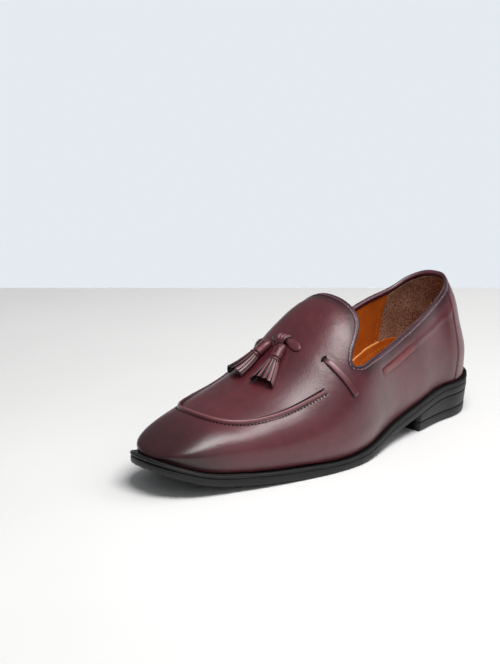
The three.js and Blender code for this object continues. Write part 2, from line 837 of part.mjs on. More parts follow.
const look = (color, roughness) => new THREE.MeshStandardMaterial({ color, roughness, metalness: 0 });
const BURGUNDY = look(0x5a2630, 0.38);
const DARK_EDGE = look(0x2a1118, 0.42);
const LACE = look(0x64262e, 0.42);
const TAN = look(0xb06a2e, 0.7);
const BLACK = look(0x15161a, 0.6);

const shoe = new THREE.Group();
shoe.name = 'tassel_shoe';

function piece(name, geometry, material) {
  const mesh = new THREE.Mesh(geometry, material);
  mesh.name = name;
  shoe.add(mesh);
}

piece('upper', makeUpper().geometry(), BURGUNDY);
piece('collar_binding', makeBinding().geometry(), DARK_EDGE);
piece('heel_counter', makeCounter().geometry(), BURGUNDY);
piece('apron_seam', makeSeam().geometry(), BURGUNDY);
piece('vamp_strip_left', makeStrip(VAMP_STRIP, 1).geometry(), LACE);
piece('vamp_strip_right', makeStrip(VAMP_STRIP, -1).geometry(), LACE);
piece('quarter_strip_left', makeStrip(QUARTER_STRIP, 1).geometry(), LACE);
piece('quarter_strip_right', makeStrip(QUARTER_STRIP, -1).geometry(), LACE);
piece('lace_knot', makeKnot().geometry(), LACE);
piece('tassel_left', makeTassel(wasm, TASSELS.tassel_left), LACE);
piece('tassel_right', makeTassel(wasm, TASSELS.tassel_right), LACE);
piece('insole', makeInsole().geometry(), TAN);
piece('outsole', makeOutsole().geometry(), BLACK);
piece('heel_block', makeHeelBlock().geometry(), BLACK);
piece('heel_lift', makeHeelLift().geometry(), BLACK);

// The box's middle goes over the origin, and the rest plane is at zero
const box = new THREE.Box3().setFromObject(shoe);
shoe.position.set(-(box.min.x + box.max.x) / 2, -(box.min.y + box.max.y) / 2, 0);

export default shoe;
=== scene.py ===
import math

import bmesh
import bpy
import numpy as np
from mathutils import Matrix, Vector


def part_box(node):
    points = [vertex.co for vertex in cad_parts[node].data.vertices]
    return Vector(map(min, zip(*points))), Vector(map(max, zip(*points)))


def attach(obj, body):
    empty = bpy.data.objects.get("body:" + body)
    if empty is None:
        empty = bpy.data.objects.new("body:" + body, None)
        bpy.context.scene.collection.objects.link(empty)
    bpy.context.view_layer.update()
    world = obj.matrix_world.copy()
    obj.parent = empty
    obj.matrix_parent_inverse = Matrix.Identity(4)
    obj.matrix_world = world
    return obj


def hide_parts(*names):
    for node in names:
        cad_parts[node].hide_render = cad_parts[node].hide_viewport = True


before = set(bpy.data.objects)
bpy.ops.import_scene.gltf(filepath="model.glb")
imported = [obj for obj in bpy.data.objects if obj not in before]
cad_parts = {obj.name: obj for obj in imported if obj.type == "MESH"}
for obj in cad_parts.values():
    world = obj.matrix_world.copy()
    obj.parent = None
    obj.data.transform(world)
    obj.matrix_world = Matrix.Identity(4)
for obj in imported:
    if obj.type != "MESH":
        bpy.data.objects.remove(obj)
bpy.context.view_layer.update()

# Main sizes in millimetres, as in the solids
LENGTH = 290.0
BALL_WIDTH = 93.0
CROWN_HEIGHT = 118.0
HEEL_RISE = 18.1
HEEL_AXIS = 36.0
HEEL_REACH = 34.2
HEEL_LENGTH = 74.0
BACK_BULGE = 0.5
BACK_HOLLOW = 1.6
GAP = 0.3
WALL = 1.9
SOLE_THICK = 7.9
SOLE_RIM = 3.7
LIFT_HEIGHT = 6.8
INSOLE_THICK = 2.0
KNOT_AT = 0.602 * LENGTH
THROAT_FOOT = 0.572 * LENGTH
COUNTER_REACH = 0.1 * LENGTH
BELLY = 0.22
TOE = 0.8
TOE_RIM = 1.6

# Cross sections: at, bend, half, rise, bulge, belly, crown, lean, round
SECTIONS = np.array([
    [0.124, -0.027, 0.314, 1.0, 0.027, 0.178, 1.0, -0.004, 1.57],
    [0.25, 0.023, 0.327, 0.77, 0.031, 0.184, 1.0, -0.003, 2.1],
    [0.38, 0.053, 0.37, 0.354, 0.042, 0.186, 0.911, -0.006, 2.2],
    [0.5, 0.07, 0.472, 0.059, 0.054, 0.17, 0.86, -0.043, 2.2],
    [0.6, 0.058, 0.5, -0.006, 0.054, 0.144, 0.678, -0.065, 2.03],
    [0.68, 0.033, 0.488, 0.061, 0.047, 0.125, 0.53, -0.063, 2.0],
    [0.76, 0.01, 0.456, 0.127, 0.042, 0.108, 0.453, -0.053, 2.04],
    [0.84, -0.004, 0.398, 0.227, 0.037, 0.097, 0.398, -0.031, 2.16],
    [0.92, -0.013, 0.325, 0.42, 0.025, 0.082, 0.356, -0.011, 2.3],
    [1.0, -0.02, 0.256, 0.862, 0.02, 0.073, 0.312, 0.0, 2.38],
])
COLUMNS = ("bend", "half", "rise", "bulge", "belly", "crown", "lean", "round")
SCALES = (BALL_WIDTH, BALL_WIDTH, HEEL_RISE, BALL_WIDTH, CROWN_HEIGHT, CROWN_HEIGHT, BALL_WIDTH, 1.0)

# The collar's edge from the heel's back to the tongue's tip: at, up
TOPLINE = np.array([
    [0, 0.7], [0.043, 0.695], [0.078, 0.667], [0.114, 0.627], [0.142, 0.582],
    [0.18, 0.535], [0.228, 0.501], [0.276, 0.484], [0.345, 0.478], [0.431, 0.481],
    [0.487, 0.49], [0.524, 0.512], [0.535, 0.544], [0.529, 0.576], [0.509, 0.613],
    [0.484, 0.652], [0.468, 0.697], [0.461, 0.755], [0.46, 0.83], [0.461, 0.92], [0.461, 1.0],
])
STRAIGHT_ROW, VERTEX_ROW, CORNER_ROW, TIP_ROW = 9, 12, 17, 20

# The apron seam and the lace strips: at, up
APRON = np.array([
    [0.615, 0.536], [0.666, 0.556], [0.717, 0.568], [0.76, 0.582], [0.802, 0.615],
    [0.838, 0.682], [0.86, 0.787], [0.868, 0.9], [0.87, 1.0],
])
VAMP_STRIP = np.array([[0.583, 0.677], [0.569, 0.54], [0.548, 0.398]])
QUARTER_STRIP = np.array([[0.431, 0.387], [0.35, 0.377], [0.288, 0.381]])

RNG = np.random.default_rng(7)


def mix(a, b, share):
    return a + (b - a) * share


def smooth(x):
    x = np.clip(x, 0.0, 1.0)
    return x * x * (3 - 2 * x)


def unit(v):
    return v / (np.linalg.norm(v, axis=-1, keepdims=True) + 1e-12)


def spline(xs, ys, level=False):
    """A smooth curve through values, which can be level at its start."""
    xs, ys = np.asarray(xs, float), np.asarray(ys, float)
    n = len(xs)
    a, b = np.zeros((n, n)), np.zeros(n)
    wide = np.diff(xs)
    a[0, 0] = a[-1, -1] = 1.0
    if level:
        a[0, 0], a[0, 1] = 1.0, 0.5
        b[0] = 3 / wide[0] * ((ys[1] - ys[0]) / wide[0])
    for i in range(1, n - 1):
        a[i, i - 1], a[i, i], a[i, i + 1] = wide[i - 1], 2 * (wide[i - 1] + wide[i]), wide[i]
        b[i] = 6 * ((ys[i + 1] - ys[i]) / wide[i] - (ys[i] - ys[i - 1]) / wide[i - 1])
    curve = np.linalg.solve(a, b)

    def value(x):
        x = np.asarray(x, float)
        i = np.clip(np.searchsorted(xs, x) - 1, 0, n - 2)
        w = wide[i]
        p = (xs[i + 1] - x) / w
        q = 1 - p
        cubic = (p**3 - p) * curve[i] + (q**3 - q) * curve[i + 1]
        return p * ys[i] + q * ys[i + 1] + cubic * w * w / 6

    return value


SPLINES = {
    name: spline(SECTIONS[:, 0], SECTIONS[:, i + 1] * SCALES[i], True)
    for i, name in enumerate(COLUMNS)
}


def section(k, name):
    return SPLINES[name](np.maximum(k / LENGTH, SECTIONS[0, 0]))


def edge_height(k):
    return SOLE_THICK + section(k, "rise")


def closing(k, start, power):
    share = np.clip((k / LENGTH - start) / (1 - start), 0, 1)
    return np.maximum(1 - share**power, 0) ** (1 / power)


def form(k, up, side, inset=0.0):
    """A point of the shoe's form, millimetres, as in the solids."""
    k, up, side, inset = np.broadcast_arrays(
        *[np.asarray(v, float) for v in (k, up, side, inset)])
    narrow, low = closing(k, 0.9, 2.6), closing(k, 0.86, 2.2)
    lean, bend, power = section(k, "lean"), section(k, "bend"), section(k, "round")
    half = (section(k, "half") - inset) * narrow
    belly = section(k, "belly") * low
    rise = (section(k, "crown") - edge_height(k) - section(k, "belly") - inset) * low
    toe = np.maximum(k / LENGTH - TOE, 0) / (1 - TOE)
    turn = np.maximum(1 - k / HEEL_AXIS, 0) * (math.pi / 2)
    along, across = np.sin(turn), np.cos(turn)
    round_foot = 1 / np.hypot(across / np.maximum(half, 1e-9), along / (HEEL_REACH - inset))
    foot = np.where(turn > 0, round_foot, half)
    bulge = section(k, "bulge") * narrow
    wide = foot + bulge + (BACK_BULGE - bulge) * along
    below = np.minimum(up / BELLY, 1)
    angle = np.maximum(up - BELLY, 0) / (1 - BELLY) * (math.pi / 2)
    c, s = np.maximum(np.cos(angle), 0), np.sin(angle)
    size = (c**power + s**power) ** (-1 / power)
    lower = foot + (wide - foot) * np.sin(below * math.pi / 2)
    reach = np.where(up < BELLY, lower, wide * c * size)
    hollow = np.clip((up - 0.18) / 0.36, 0, 1)
    reach = reach - BACK_HOLLOW * along * (2 - along) * np.sin(hollow * math.pi) ** 2
    tilt = (1 - c * size) * lean * narrow
    rim = np.where(inset < 0, TOE_RIM, 1.0)
    from_heel = np.where(turn > 0, HEEL_AXIS - reach * along, k - inset * toe**2 * rim)
    x = bend + tilt + side * reach * across
    z = edge_height(from_heel) + belly * below + rise * s * size
    return np.stack([x, LENGTH / 2 - from_heel, z], -1)


def slopes(k, up, side):
    k, up, side = np.broadcast_arrays(*[np.asarray(v, float) for v in (k, up, side)])
    high, low = np.minimum(k + 0.25, LENGTH), np.maximum(k - 0.25, 0)
    along_k = (form(high, up, side) - form(low, up, side)) / (high - low)[..., None]
    top = np.minimum(up + 0.002, 1)
    along_up = (form(k, top, side) - form(k, up - 0.002, side)) / (top - up + 0.002)[..., None]
    out = unit(np.cross(along_up, along_k)) * side[..., None]
    return along_k, along_up, out


def walk(k, up, side, way):
    """The place reached by going a short way over the form."""
    along_k, along_up, _ = slopes(k, up, side)
    kk, uu = (along_k * along_k).sum(-1), (along_up * along_up).sum(-1)
    ku = (along_k * along_up).sum(-1)
    wk, wu = (way * along_k).sum(-1), (way * along_up).sum(-1)
    size = kk * uu - ku * ku
    k, up, side = k + (wk * uu - wu * ku) / size, up + (wu * kk - wk * ku) / size, side + 0 * kk
    side = np.where(up > 1, -side, side)
    up = np.where(up > 1, 2 - up, up)
    side = np.where(k < 0, -side, side)
    return np.abs(k), up, side


def over(k, up, side, way, height):
    """A point near a place of the form, raised from it."""
    k, up, side = walk(k, up, side, way)
    return form(k, up, side) + slopes(k, up, side)[2] * np.asarray(height)[..., None]


def line_through(rows):
    """A smooth line over the form; it returns k and up for a length g."""
    steps = np.hypot(np.diff(rows[:, 0]) * LENGTH, np.diff(rows[:, 1]) * BALL_WIDTH)
    gone = np.concatenate([[0], np.cumsum(steps)])
    k_of, up_of = spline(gone, rows[:, 0] * LENGTH), spline(gone, rows[:, 1])

    def line(g):
        return np.maximum(k_of(g), 0), np.minimum(up_of(g), 1)

    return line, gone


def even_line(k, up, side, step):
    """The same line with places an even distance apart; also its run in mm."""
    points = form(k, up, side)
    run = np.concatenate([[0], np.cumsum(np.linalg.norm(np.diff(points, axis=0), axis=1))])
    count = max(int(round(run[-1] / step)), 2)
    to = np.linspace(0, run[-1], count + 1)
    signed = np.interp(to, run, side * (1 - up))
    line_side = np.where(signed >= 0, 1.0, -1.0)
    line_up = 1 - np.abs(signed)
    if (side == side[0]).all():
        line_up, line_side = np.interp(to, run, up), np.full(len(to), side[0])
    return np.interp(to, run, k), line_up, line_side, to


def near_line(points, line, chunk=4000):
    """Distance of points to a line of points, and the index of the nearest one."""
    far, index = np.empty(len(points)), np.empty(len(points), int)
    for i in range(0, len(points), chunk):
        d = np.linalg.norm(points[i:i + chunk, None] - line[None], axis=2)
        index[i:i + chunk] = d.argmin(1)
        far[i:i + chunk] = d.min(1)
    return far, index


# The row frame is the raw frame moved so that the outsole's box matches
outline = np.concatenate([
    form(np.linspace(0, LENGTH, 600), 0, side, -SOLE_RIM) for side in (1, -1)])
low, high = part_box("outsole")
SHIFT = np.array([
    (low.x + high.x) * 500 - (outline[:, 0].min() + outline[:, 0].max()) / 2,
    (low.y + high.y) * 500 - (outline[:, 1].min() + outline[:, 1].max()) / 2,
    0.0,
])


def place(points):
    """Millimetres of the form to metres of the row frame."""
    return (np.asarray(points, float).reshape(-1, 3) + SHIFT) / 1000


def add_mesh(name, points, faces, material, stands_for=(), slot=None, marks=None, flat=False):
    faces = [tuple(dict.fromkeys(f)) for f in faces]
    mesh = bpy.data.meshes.new(name)
    mesh.from_pydata(place(points).tolist(), [], [f for f in faces if len(f) > 2])
    for key, values in (marks or {}).items():
        layer = mesh.attributes.new(key, "FLOAT", "POINT")
        layer.data.foreach_set("value", np.asarray(values, np.float32))
    work = bmesh.new()
    work.from_mesh(mesh)
    bmesh.ops.recalc_face_normals(work, faces=work.faces)
    work.to_mesh(mesh)
    work.free()
    mesh.polygons.foreach_set("use_smooth", [not flat] * len(mesh.polygons))
    mesh.materials.append(material)
    mesh.update()
    piece = bpy.data.objects.new(name, mesh)
    bpy.context.scene.collection.objects.link(piece)
    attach(piece, "root")
    if stands_for:
        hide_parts(*stands_for)
    return piece


def grid_faces(rows, columns, start=0, around=False):
    i, j = np.meshgrid(np.arange(rows - 1), np.arange(columns if around else columns - 1), indexing="ij")
    after = (j + 1) % columns
    a, b = start + i * columns + j, start + (i + 1) * columns + j
    c, d = start + (i + 1) * columns + after, start + i * columns + after
    return np.stack([a, b, c, d], -1).reshape(-1, 4).tolist()


def sweep(rings, closed=False, round_ends=0.0):
    """Points and faces of a tube through rings of points, with rounded ends."""
    rings = np.asarray(rings, float)
    if not closed:
        ends = []
        for first, second in ((rings[0], rings[1]), (rings[-1], rings[-2])):
            centre = first.mean(0)
            way = unit(centre - second.mean(0))
            caps = []
            for turn in (0.5, 1.0, 1.35, 1.55):
                caps.append(centre + (first - centre) * math.cos(turn) + way * math.sin(turn) * round_ends)
            ends.append(caps)
        rings = np.concatenate([ends[0][::-1], rings, ends[1]])
    count, around = rings.shape[:2]
    if closed:
        rings = np.concatenate([rings, rings[:1]])
        faces = grid_faces(count, around, 0, True)
        last = (count - 1) * around
        faces += [(last + j, j, (j + 1) % around, last + (j + 1) % around) for j in range(around)]
        return rings[:-1].reshape(-1, 3), faces
    faces = grid_faces(count, around, 0, True)
    faces.append(tuple(range(around)))
    faces.append(tuple((count - 1) * around + j for j in reversed(range(around))))
    return rings.reshape(-1, 3), faces


def joined(parts):
    points, faces, start = [], [], 0
    for some, their in parts:
        some = np.asarray(some, float).reshape(-1, 3)
        points.append(some)
        faces += [tuple(v + start for v in f) for f in their]
        start += len(some)
    return np.concatenate(points), faces


def beads(centres, ways, outs, length, width, height):
    """Rounded thread stitches: one small closed form at each place."""
    rows, around = 5, 8
    v = np.linspace(0, math.pi, rows + 2)[1:-1]
    a = np.linspace(0, 2 * math.pi, around, endpoint=False)
    unit_points = [(-1.0, 0.0, 0.0)]
    for t in v:
        for angle in a:
            unit_points.append((-math.cos(t), math.sin(t) ** 0.7 * math.cos(angle), math.sin(t) ** 0.7 * math.sin(angle)))
    unit_points.append((1.0, 0.0, 0.0))
    unit_points = np.array(unit_points) * [length / 2, width / 2, height / 2]
    last = len(unit_points) - 1
    faces = [(0, 1 + j, 1 + (j + 1) % around) for j in range(around)]
    faces += grid_faces(rows, around, 1, True)
    faces += [(last, last - around + (j + 1) % around, last - around + j) for j in range(around)]
    ways, outs = unit(ways), unit(outs)
    sides = unit(np.cross(outs, ways))
    outs = np.cross(ways, sides)
    points = (centres[:, None] + unit_points[None, :, :1] * ways[:, None]
              + unit_points[None, :, 1:2] * sides[:, None] + unit_points[None, :, 2:] * outs[:, None])
    all_faces = []
    for i in range(len(centres)):
        start = i * len(unit_points)
        all_faces += [tuple(start + v for v in f) for f in faces]
    return points.reshape(-1, 3), all_faces


# Node helpers for the materials
def rgb(r, g, b):
    values = [v / 255 for v in (r, g, b)]
    return tuple(v / 12.92 if v <= 0.04045 else ((v + 0.055) / 1.055) ** 2.4 for v in values) + (1.0,)


class Look:
    """A material with short calls for its nodes."""

    def __init__(self, name):
        self.material = bpy.data.materials.new(name)
        self.material.use_nodes = True
        self.tree = self.material.node_tree
        self.shader = self.tree.nodes["Principled BSDF"]
        self.where = self.tree.nodes.new("ShaderNodeTexCoord").outputs["Object"]

    def put(self, node, socket, value):
        target = node.inputs[socket]
        if isinstance(value, bpy.types.NodeSocket):
            self.tree.links.new(value, target)
        else:
            target.default_value = value

    def noise(self, scale, detail=3.0, rough=0.55, stretch=None):
        node = self.tree.nodes.new("ShaderNodeTexNoise")
        where = self.where
        if stretch:
            mapping = self.tree.nodes.new("ShaderNodeMapping")
            self.put(mapping, "Vector", where)
            mapping.inputs["Scale"].default_value = stretch
            where = mapping.outputs["Vector"]
        self.put(node, "Vector", where)
        for socket, value in (("Scale", scale), ("Detail", detail), ("Roughness", rough)):
            self.put(node, socket, value)
        return node.outputs["Fac"]

    def cells(self, scale, feature="F1", output="Distance"):
        node = self.tree.nodes.new("ShaderNodeTexVoronoi")
        node.feature = feature
        self.put(node, "Vector", self.where)
        self.put(node, "Scale", scale)
        return node.outputs[output]

    def mark(self, name):
        node = self.tree.nodes.new("ShaderNodeAttribute")
        node.attribute_name = name
        return node.outputs["Fac"]

    def calc(self, kind, a, b=0.0, clamp=False):
        node = self.tree.nodes.new("ShaderNodeMath")
        node.operation = kind
        node.use_clamp = clamp
        self.put(node, 0, a)
        self.put(node, 1, b)
        return node.outputs[0]

    def between(self, value, low, high, to_low=0.0, to_high=1.0):
        node = self.tree.nodes.new("ShaderNodeMapRange")
        node.interpolation_type = "SMOOTHSTEP"
        for socket, number in (("Value", value), ("From Min", low), ("From Max", high),
                               ("To Min", to_low), ("To Max", to_high)):
            self.put(node, socket, number)
        return node.outputs["Result"]

    def blend(self, share, a, b, kind="MIX"):
        node = self.tree.nodes.new("ShaderNodeMix")
        node.data_type = "RGBA"
        node.blend_type = kind
        self.put(node, 0, share)
        self.put(node, 6, a)
        self.put(node, 7, b)
        return node.outputs[2]

    def bump(self, height, distance, strength=1.0, after=None):
        node = self.tree.nodes.new("ShaderNodeBump")
        self.put(node, "Height", height)
        self.put(node, "Distance", distance)
        self.put(node, "Strength", strength)
        if after is not None:
            self.put(node, "Normal", after)
        return node.outputs["Normal"]

    def set(self, **values):
        for socket, value in values.items():
            self.put(self.shader, socket.replace("_", " "), value)
        return self


def leather(name, light, dark, grain_burnish_shade_colour, seam=False, rough=0.37, gloss=0.3, painted_highlight=(150, 96, 102)):
    """Smooth calf leather: cloudy dye, a fine grain, painted shade with some burnish, painted highlights, and painted
    shade in the seam's grooves.
    """
    look = Look(name)
    cloud = look.between(look.noise(26, 5, 0.6), 0.3, 0.72)
    colour = look.blend(cloud, dark, light)
    fine = look.between(look.noise(170, 5, 0.65), 0.38, 0.72)
    colour = look.blend(look.calc("MULTIPLY", fine, 0.2), colour, grain_burnish_shade_colour)
    # Painted highlight: lighter colour where the mark lights raised tops and edges
    colour = look.blend(look.calc("MULTIPLY", look.mark("painted_highlight"), 1.0, True), colour, rgb(*painted_highlight))
    # Painted shade: darker colour where the mark shades recesses, joins and undersides; on the toe it is partly burnish
    colour = look.blend(look.calc("MULTIPLY", look.mark("painted_shade_and_burnish"), 1.0, True), colour, grain_burnish_shade_colour)
    grain = look.cells(1050, "SMOOTH_F1")
    pores = look.noise(2400, 3, 0.6)
    height = look.calc("ADD", look.calc("MULTIPLY", grain, 0.8), look.calc("MULTIPLY", pores, 0.5))
    normal = look.bump(height, 0.00008, 0.7)
    normal = look.bump(look.noise(240, 4, 0.6), 0.00022, 0.42, normal)
    normal = look.bump(look.noise(60, 3, 0.5), 0.0006, 0.2, normal)
    if seam:
        away = look.mark("seam")
        weight = look.mark("seam_weight")
        inner = look.between(look.calc("ABSOLUTE", look.calc("SUBTRACT", away, 1.6)), 0.0, 0.8, 1, 0)
        outer = look.between(look.calc("ABSOLUTE", look.calc("ADD", away, 2.2)), 0.0, 1.1, 1, 0)
        groove = look.calc("MULTIPLY", look.calc("MAXIMUM", inner, look.calc("MULTIPLY", outer, 0.45)), weight)
        # Painted shade: the seam's grooves are darkened in the colour as well as bumped
        colour = look.blend(look.calc("MULTIPLY", groove, 0.8, True), colour, grain_burnish_shade_colour)
        normal = look.bump(look.calc("MULTIPLY", groove, -1.0), 0.0006, 0.8, normal)
    uneven = look.calc("MULTIPLY", look.noise(38, 4), 0.14)
    shine = look.calc("ADD", look.calc("ADD", uneven, rough - 0.07), look.calc("MULTIPLY", look.mark("painted_shade_and_burnish"), -0.03))
    look.set(Base_Color=colour, Roughness=shine, Normal=normal)
    look.set(Specular_IOR_Level=0.5, Coat_Weight=gloss, Coat_Roughness=0.27, Coat_Normal=normal)
    return look.material


BURGUNDY = leather("burgundy_leather", rgb(98, 40, 47), rgb(81, 31, 38), rgb(30, 10, 17), seam=True)
RIDGE = leather("burgundy_ridge", rgb(103, 43, 49), rgb(86, 33, 39), rgb(32, 11, 17))
COLLAR = leather("collar_leather", rgb(66, 26, 38), rgb(48, 18, 29), rgb(20, 7, 14), painted_highlight=(120, 70, 84))
LACE = leather("lace_leather", rgb(112, 50, 56), rgb(88, 34, 40), rgb(20, 7, 10), rough=0.38, painted_highlight=(168, 122, 128))
RED_LACE = leather("red_lace_leather", rgb(118, 32, 38), rgb(96, 24, 30), rgb(52, 14, 18), painted_highlight=(132, 62, 68))


def thread(name, colour, shade):
    look = Look(name)
    twist = look.noise(1800, 2, 0.6)
    look.set(Base_Color=look.blend(look.between(twist, 0.35, 0.65), shade, colour), Roughness=0.75, Specular_IOR_Level=0.15)
    look.set(Normal=look.bump(twist, 0.0001, 0.5))
    return look.material


MAUVE_THREAD = thread("mauve_thread", rgb(196, 150, 164), rgb(140, 96, 112))
# Also used for the slits and the apron's slots, as painted shade inside the holes
DARK_THREAD_AND_HOLE_SHADE = thread("dark_thread_and_hole_shade", rgb(34, 11, 16), rgb(16, 5, 8))
YELLOW_THREAD = thread("yellow_thread", rgb(228, 170, 84), rgb(176, 112, 44))
GREY_THREAD = thread("grey_thread", rgb(84, 78, 78), rgb(40, 36, 37))


def tan_lining():
    look = Look("tan_lining")
    cloud = look.between(look.noise(30, 4), 0.3, 0.7)
    colour = look.blend(cloud, rgb(176, 84, 14), rgb(208, 108, 26))
    # Painted highlight where the mark is set
    colour = look.blend(look.calc("MULTIPLY", look.mark("painted_highlight"), 1.0, True), colour, rgb(240, 184, 110))
    pores = look.cells(1500, "SMOOTH_F1")
    look.set(Base_Color=colour, Roughness=0.5, Normal=look.bump(pores, 0.00006, 0.5))
    look.set(Coat_Weight=0.12, Coat_Roughness=0.35)
    return look.material


def suede():
    look = Look("brown_suede")
    nap = look.noise(900, 5, 0.75)
    patch = look.between(look.noise(60, 4, 0.6), 0.3, 0.7)
    colour = look.blend(patch, rgb(152, 116, 94), rgb(192, 152, 126))
    colour = look.blend(look.between(nap, 0.44, 0.6), colour, rgb(92, 62, 50))
    look.set(Base_Color=colour, Roughness=0.95, Normal=look.bump(nap, 0.0004, 0.9))
    look.set(Specular_IOR_Level=0.1, Sheen_Weight=0.5, Sheen_Roughness=0.4)
    look.shader.inputs["Sheen Tint"].default_value = rgb(200, 160, 130)
    return look.material


def rubber(name, colour, light, rough=0.52):
    """Matt rubber with moulding lines, painted shade in its grooves and joins, and a ribbed underside."""
    look = Look(name)
    cloud = look.between(look.noise(40, 4), 0.35, 0.7)
    speck = look.noise(1500, 3, 0.6)
    lines = look.noise(900, 2, 0.5, (0.04, 0.04, 1.0))
    height = look.calc("ADD", look.calc("MULTIPLY", speck, 0.5), look.calc("MULTIPLY", lines, 0.5))
    normal = look.bump(height, 0.00012, 0.5)
    tone = look.blend(cloud, colour, light)
    # Painted shade: near black where the mark shades grooves, joins and the overhung top
    tone = look.blend(look.calc("MULTIPLY", look.mark("painted_shade_and_burnish"), 1.0, True), tone, rgb(7, 7, 8))
    ribs = look.tree.nodes.new("ShaderNodeTexWave")
    ribs.bands_direction = "Y"
    look.put(ribs, "Vector", look.where)
    for socket, value in (("Scale", 75.0), ("Distortion", 1.2), ("Detail", 1.0), ("Detail Scale", 0.3)):
        look.put(ribs, socket, value)
    tread = look.calc("MULTIPLY", look.between(ribs.outputs["Fac"], 0.35, 0.6), look.mark("tread"))
    normal = look.bump(tread, 0.0007, 0.9, normal)
    look.set(Base_Color=tone, Normal=normal)
    look.set(Roughness=look.calc("ADD", look.calc("MULTIPLY", speck, 0.14), rough - 0.07))
    look.set(Specular_IOR_Level=0.4)
    return look.material


TAN = tan_lining()
SUEDE = suede()
RUBBER = rubber("black_rubber", rgb(18, 18, 20), rgb(27, 27, 30))


# Places over one half of the shoe, finer than in the solids
collar, collar_gone = line_through(TOPLINE)
dense_g = np.linspace(0, collar_gone[STRAIGHT_ROW], 800)
dense_k, dense_up = collar(dense_g)
STRAIGHT_K = TOPLINE[STRAIGHT_ROW, 0] * LENGTH


def collar_up(k):
    return np.interp(k, dense_k, dense_up)


def half_patches(heel=30, side=62, throat=22, low=9, high=30, tongue=24, front=92):
    """Grids of k and up: the quarter, the vamp and the tongue of one side."""
    k_top = np.concatenate([
        np.linspace(0, HEEL_AXIS, heel, endpoint=False), np.linspace(HEEL_AXIS, STRAIGHT_K, side, endpoint=False)])
    g = np.linspace(collar_gone[STRAIGHT_ROW], collar_gone[VERTEX_ROW], throat + 1)
    k_throat, up_throat = collar(g)
    top_k = np.concatenate([k_top, k_throat])
    top_up = np.concatenate([collar_up(k_top), up_throat])
    share = np.concatenate([np.zeros(len(k_top)), np.linspace(0, 1, throat + 1)])
    foot = np.where(share > 0, mix(STRAIGHT_K, THROAT_FOOT, share), top_k)
    ups = np.concatenate([
        np.repeat(np.linspace(0, BELLY, low, endpoint=False)[None], len(top_k), 0),
        mix(BELLY, top_up[:, None], np.linspace(0, 1, high + 1)[None])], 1)
    quarter = mix(foot[:, None], top_k[:, None], ups / top_up[:, None]), ups
    throat_k, throat_up = top_k[-1], top_up[-1]

    i = np.linspace(0, 1, front + 1)[:, None]
    share = np.sin(i * math.pi / 2)
    first = np.concatenate([ups[-1], np.linspace(throat_up, 1, tongue + 1)[1:]])[None]
    rows = len(first[0]) - 1
    level = np.where(np.arange(rows + 1) > low, mix(BELLY, 1, (np.arange(rows + 1) - low) / (rows - low)), first)
    ups_vamp = mix(first, level, np.minimum(i * 3.4, 1))
    skew = np.maximum(1 - ups_vamp / throat_up, 0)
    vamp = mix(mix(throat_k, LENGTH, share), mix(THROAT_FOOT, LENGTH, share), skew), ups_vamp

    s = np.linspace(0, 1, 27)[:, None]
    r = np.linspace(0, 1, tongue + 1)[None]
    side_g = np.linspace(collar_gone[VERTEX_ROW], collar_gone[CORNER_ROW], 27)
    end_g = np.linspace(collar_gone[CORNER_ROW], collar_gone[TIP_ROW], tongue + 1)
    patch = []
    for along, across, start, top_of in (
            (collar(side_g)[0], collar(end_g)[0], throat_k, None), (collar(side_g)[1], collar(end_g)[1], throat_up, 1.0)):
        last = across[-1]
        front_edge = np.full((1, tongue + 1), throat_k) if top_of is None else mix(throat_up, 1, r)
        crown_edge = mix(throat_k, last, s) if top_of is None else np.ones_like(s)
        front_high = throat_k if top_of is None else 1.0
        corners = mix(mix(start, across[0], s), mix(front_high, last, s), r)
        patch.append(mix(along[:, None], crown_edge, r) + mix(front_edge, across[None], s) - corners)
    return quarter, vamp, (patch[0], np.minimum(patch[1], 1))


def shell(patches, depth_out, depth_in, relief=None):
    """A closed sheet over both sides of the form between two depths."""
    k_all, up_all, side_all, faces = [], [], [], []
    start = 0
    for side in (1.0, -1.0):
        for k, up in patches:
            k, up = np.broadcast_arrays(k, up)
            k_all.append(k.ravel())
            up_all.append(up.ravel())
            side_all.append(np.full(k.size, side))
            faces += grid_faces(k.shape[0], k.shape[1], start)
            start += k.size
    k, up, side = np.concatenate(k_all), np.concatenate(up_all), np.concatenate(side_all)
    keys = np.round(form(k, up, side) * 500).astype(np.int64)
    _, first, back = np.unique(keys, axis=0, return_index=True, return_inverse=True)
    back = back.reshape(-1)
    k, up, side = k[first], up[first], side[first]
    faces = [tuple(dict.fromkeys(back[list(f)].tolist())) for f in faces]
    faces = [f for f in faces if len(f) > 2]
    outer, inner = form(k, up, side, depth_out), form(k, up, side, depth_in)
    if relief is not None:
        outer = outer + relief(k, up, side, outer)
    used = {}
    for f in faces:
        for a, b in zip(f, f[1:] + f[:1]):
            key = (min(a, b), max(a, b))
            used[key] = used.get(key, 0) + 1
    count = len(k)
    rim = [(a, b, b + count, a + count) for (a, b), n in used.items() if n == 1]
    faces = faces + [tuple(v + count for v in f) for f in faces] + rim
    return np.concatenate([outer, inner]), faces, (k, up, side)


# The apron seam as an even line over both sides
apron_line, apron_gone = line_through(APRON)
apron_g = np.linspace(0, apron_gone[-1], 200)
half_k, half_up = apron_line(apron_g)
seam_k = np.concatenate([half_k, half_k[-2::-1]])
seam_up = np.concatenate([half_up, half_up[-2::-1]])
seam_side = np.concatenate([np.ones(200), -np.ones(199)])
seam_k, seam_up, seam_side, seam_run = even_line(seam_k, seam_up, seam_side, 1.0)
seam_points = form(seam_k, seam_up, seam_side)


def strip_line(rows, side, step=0.8):
    line, gone = line_through(rows)
    k, up = line(np.linspace(0, gone[-1], 120))
    return even_line(k, up, np.full(120, float(side)), step)


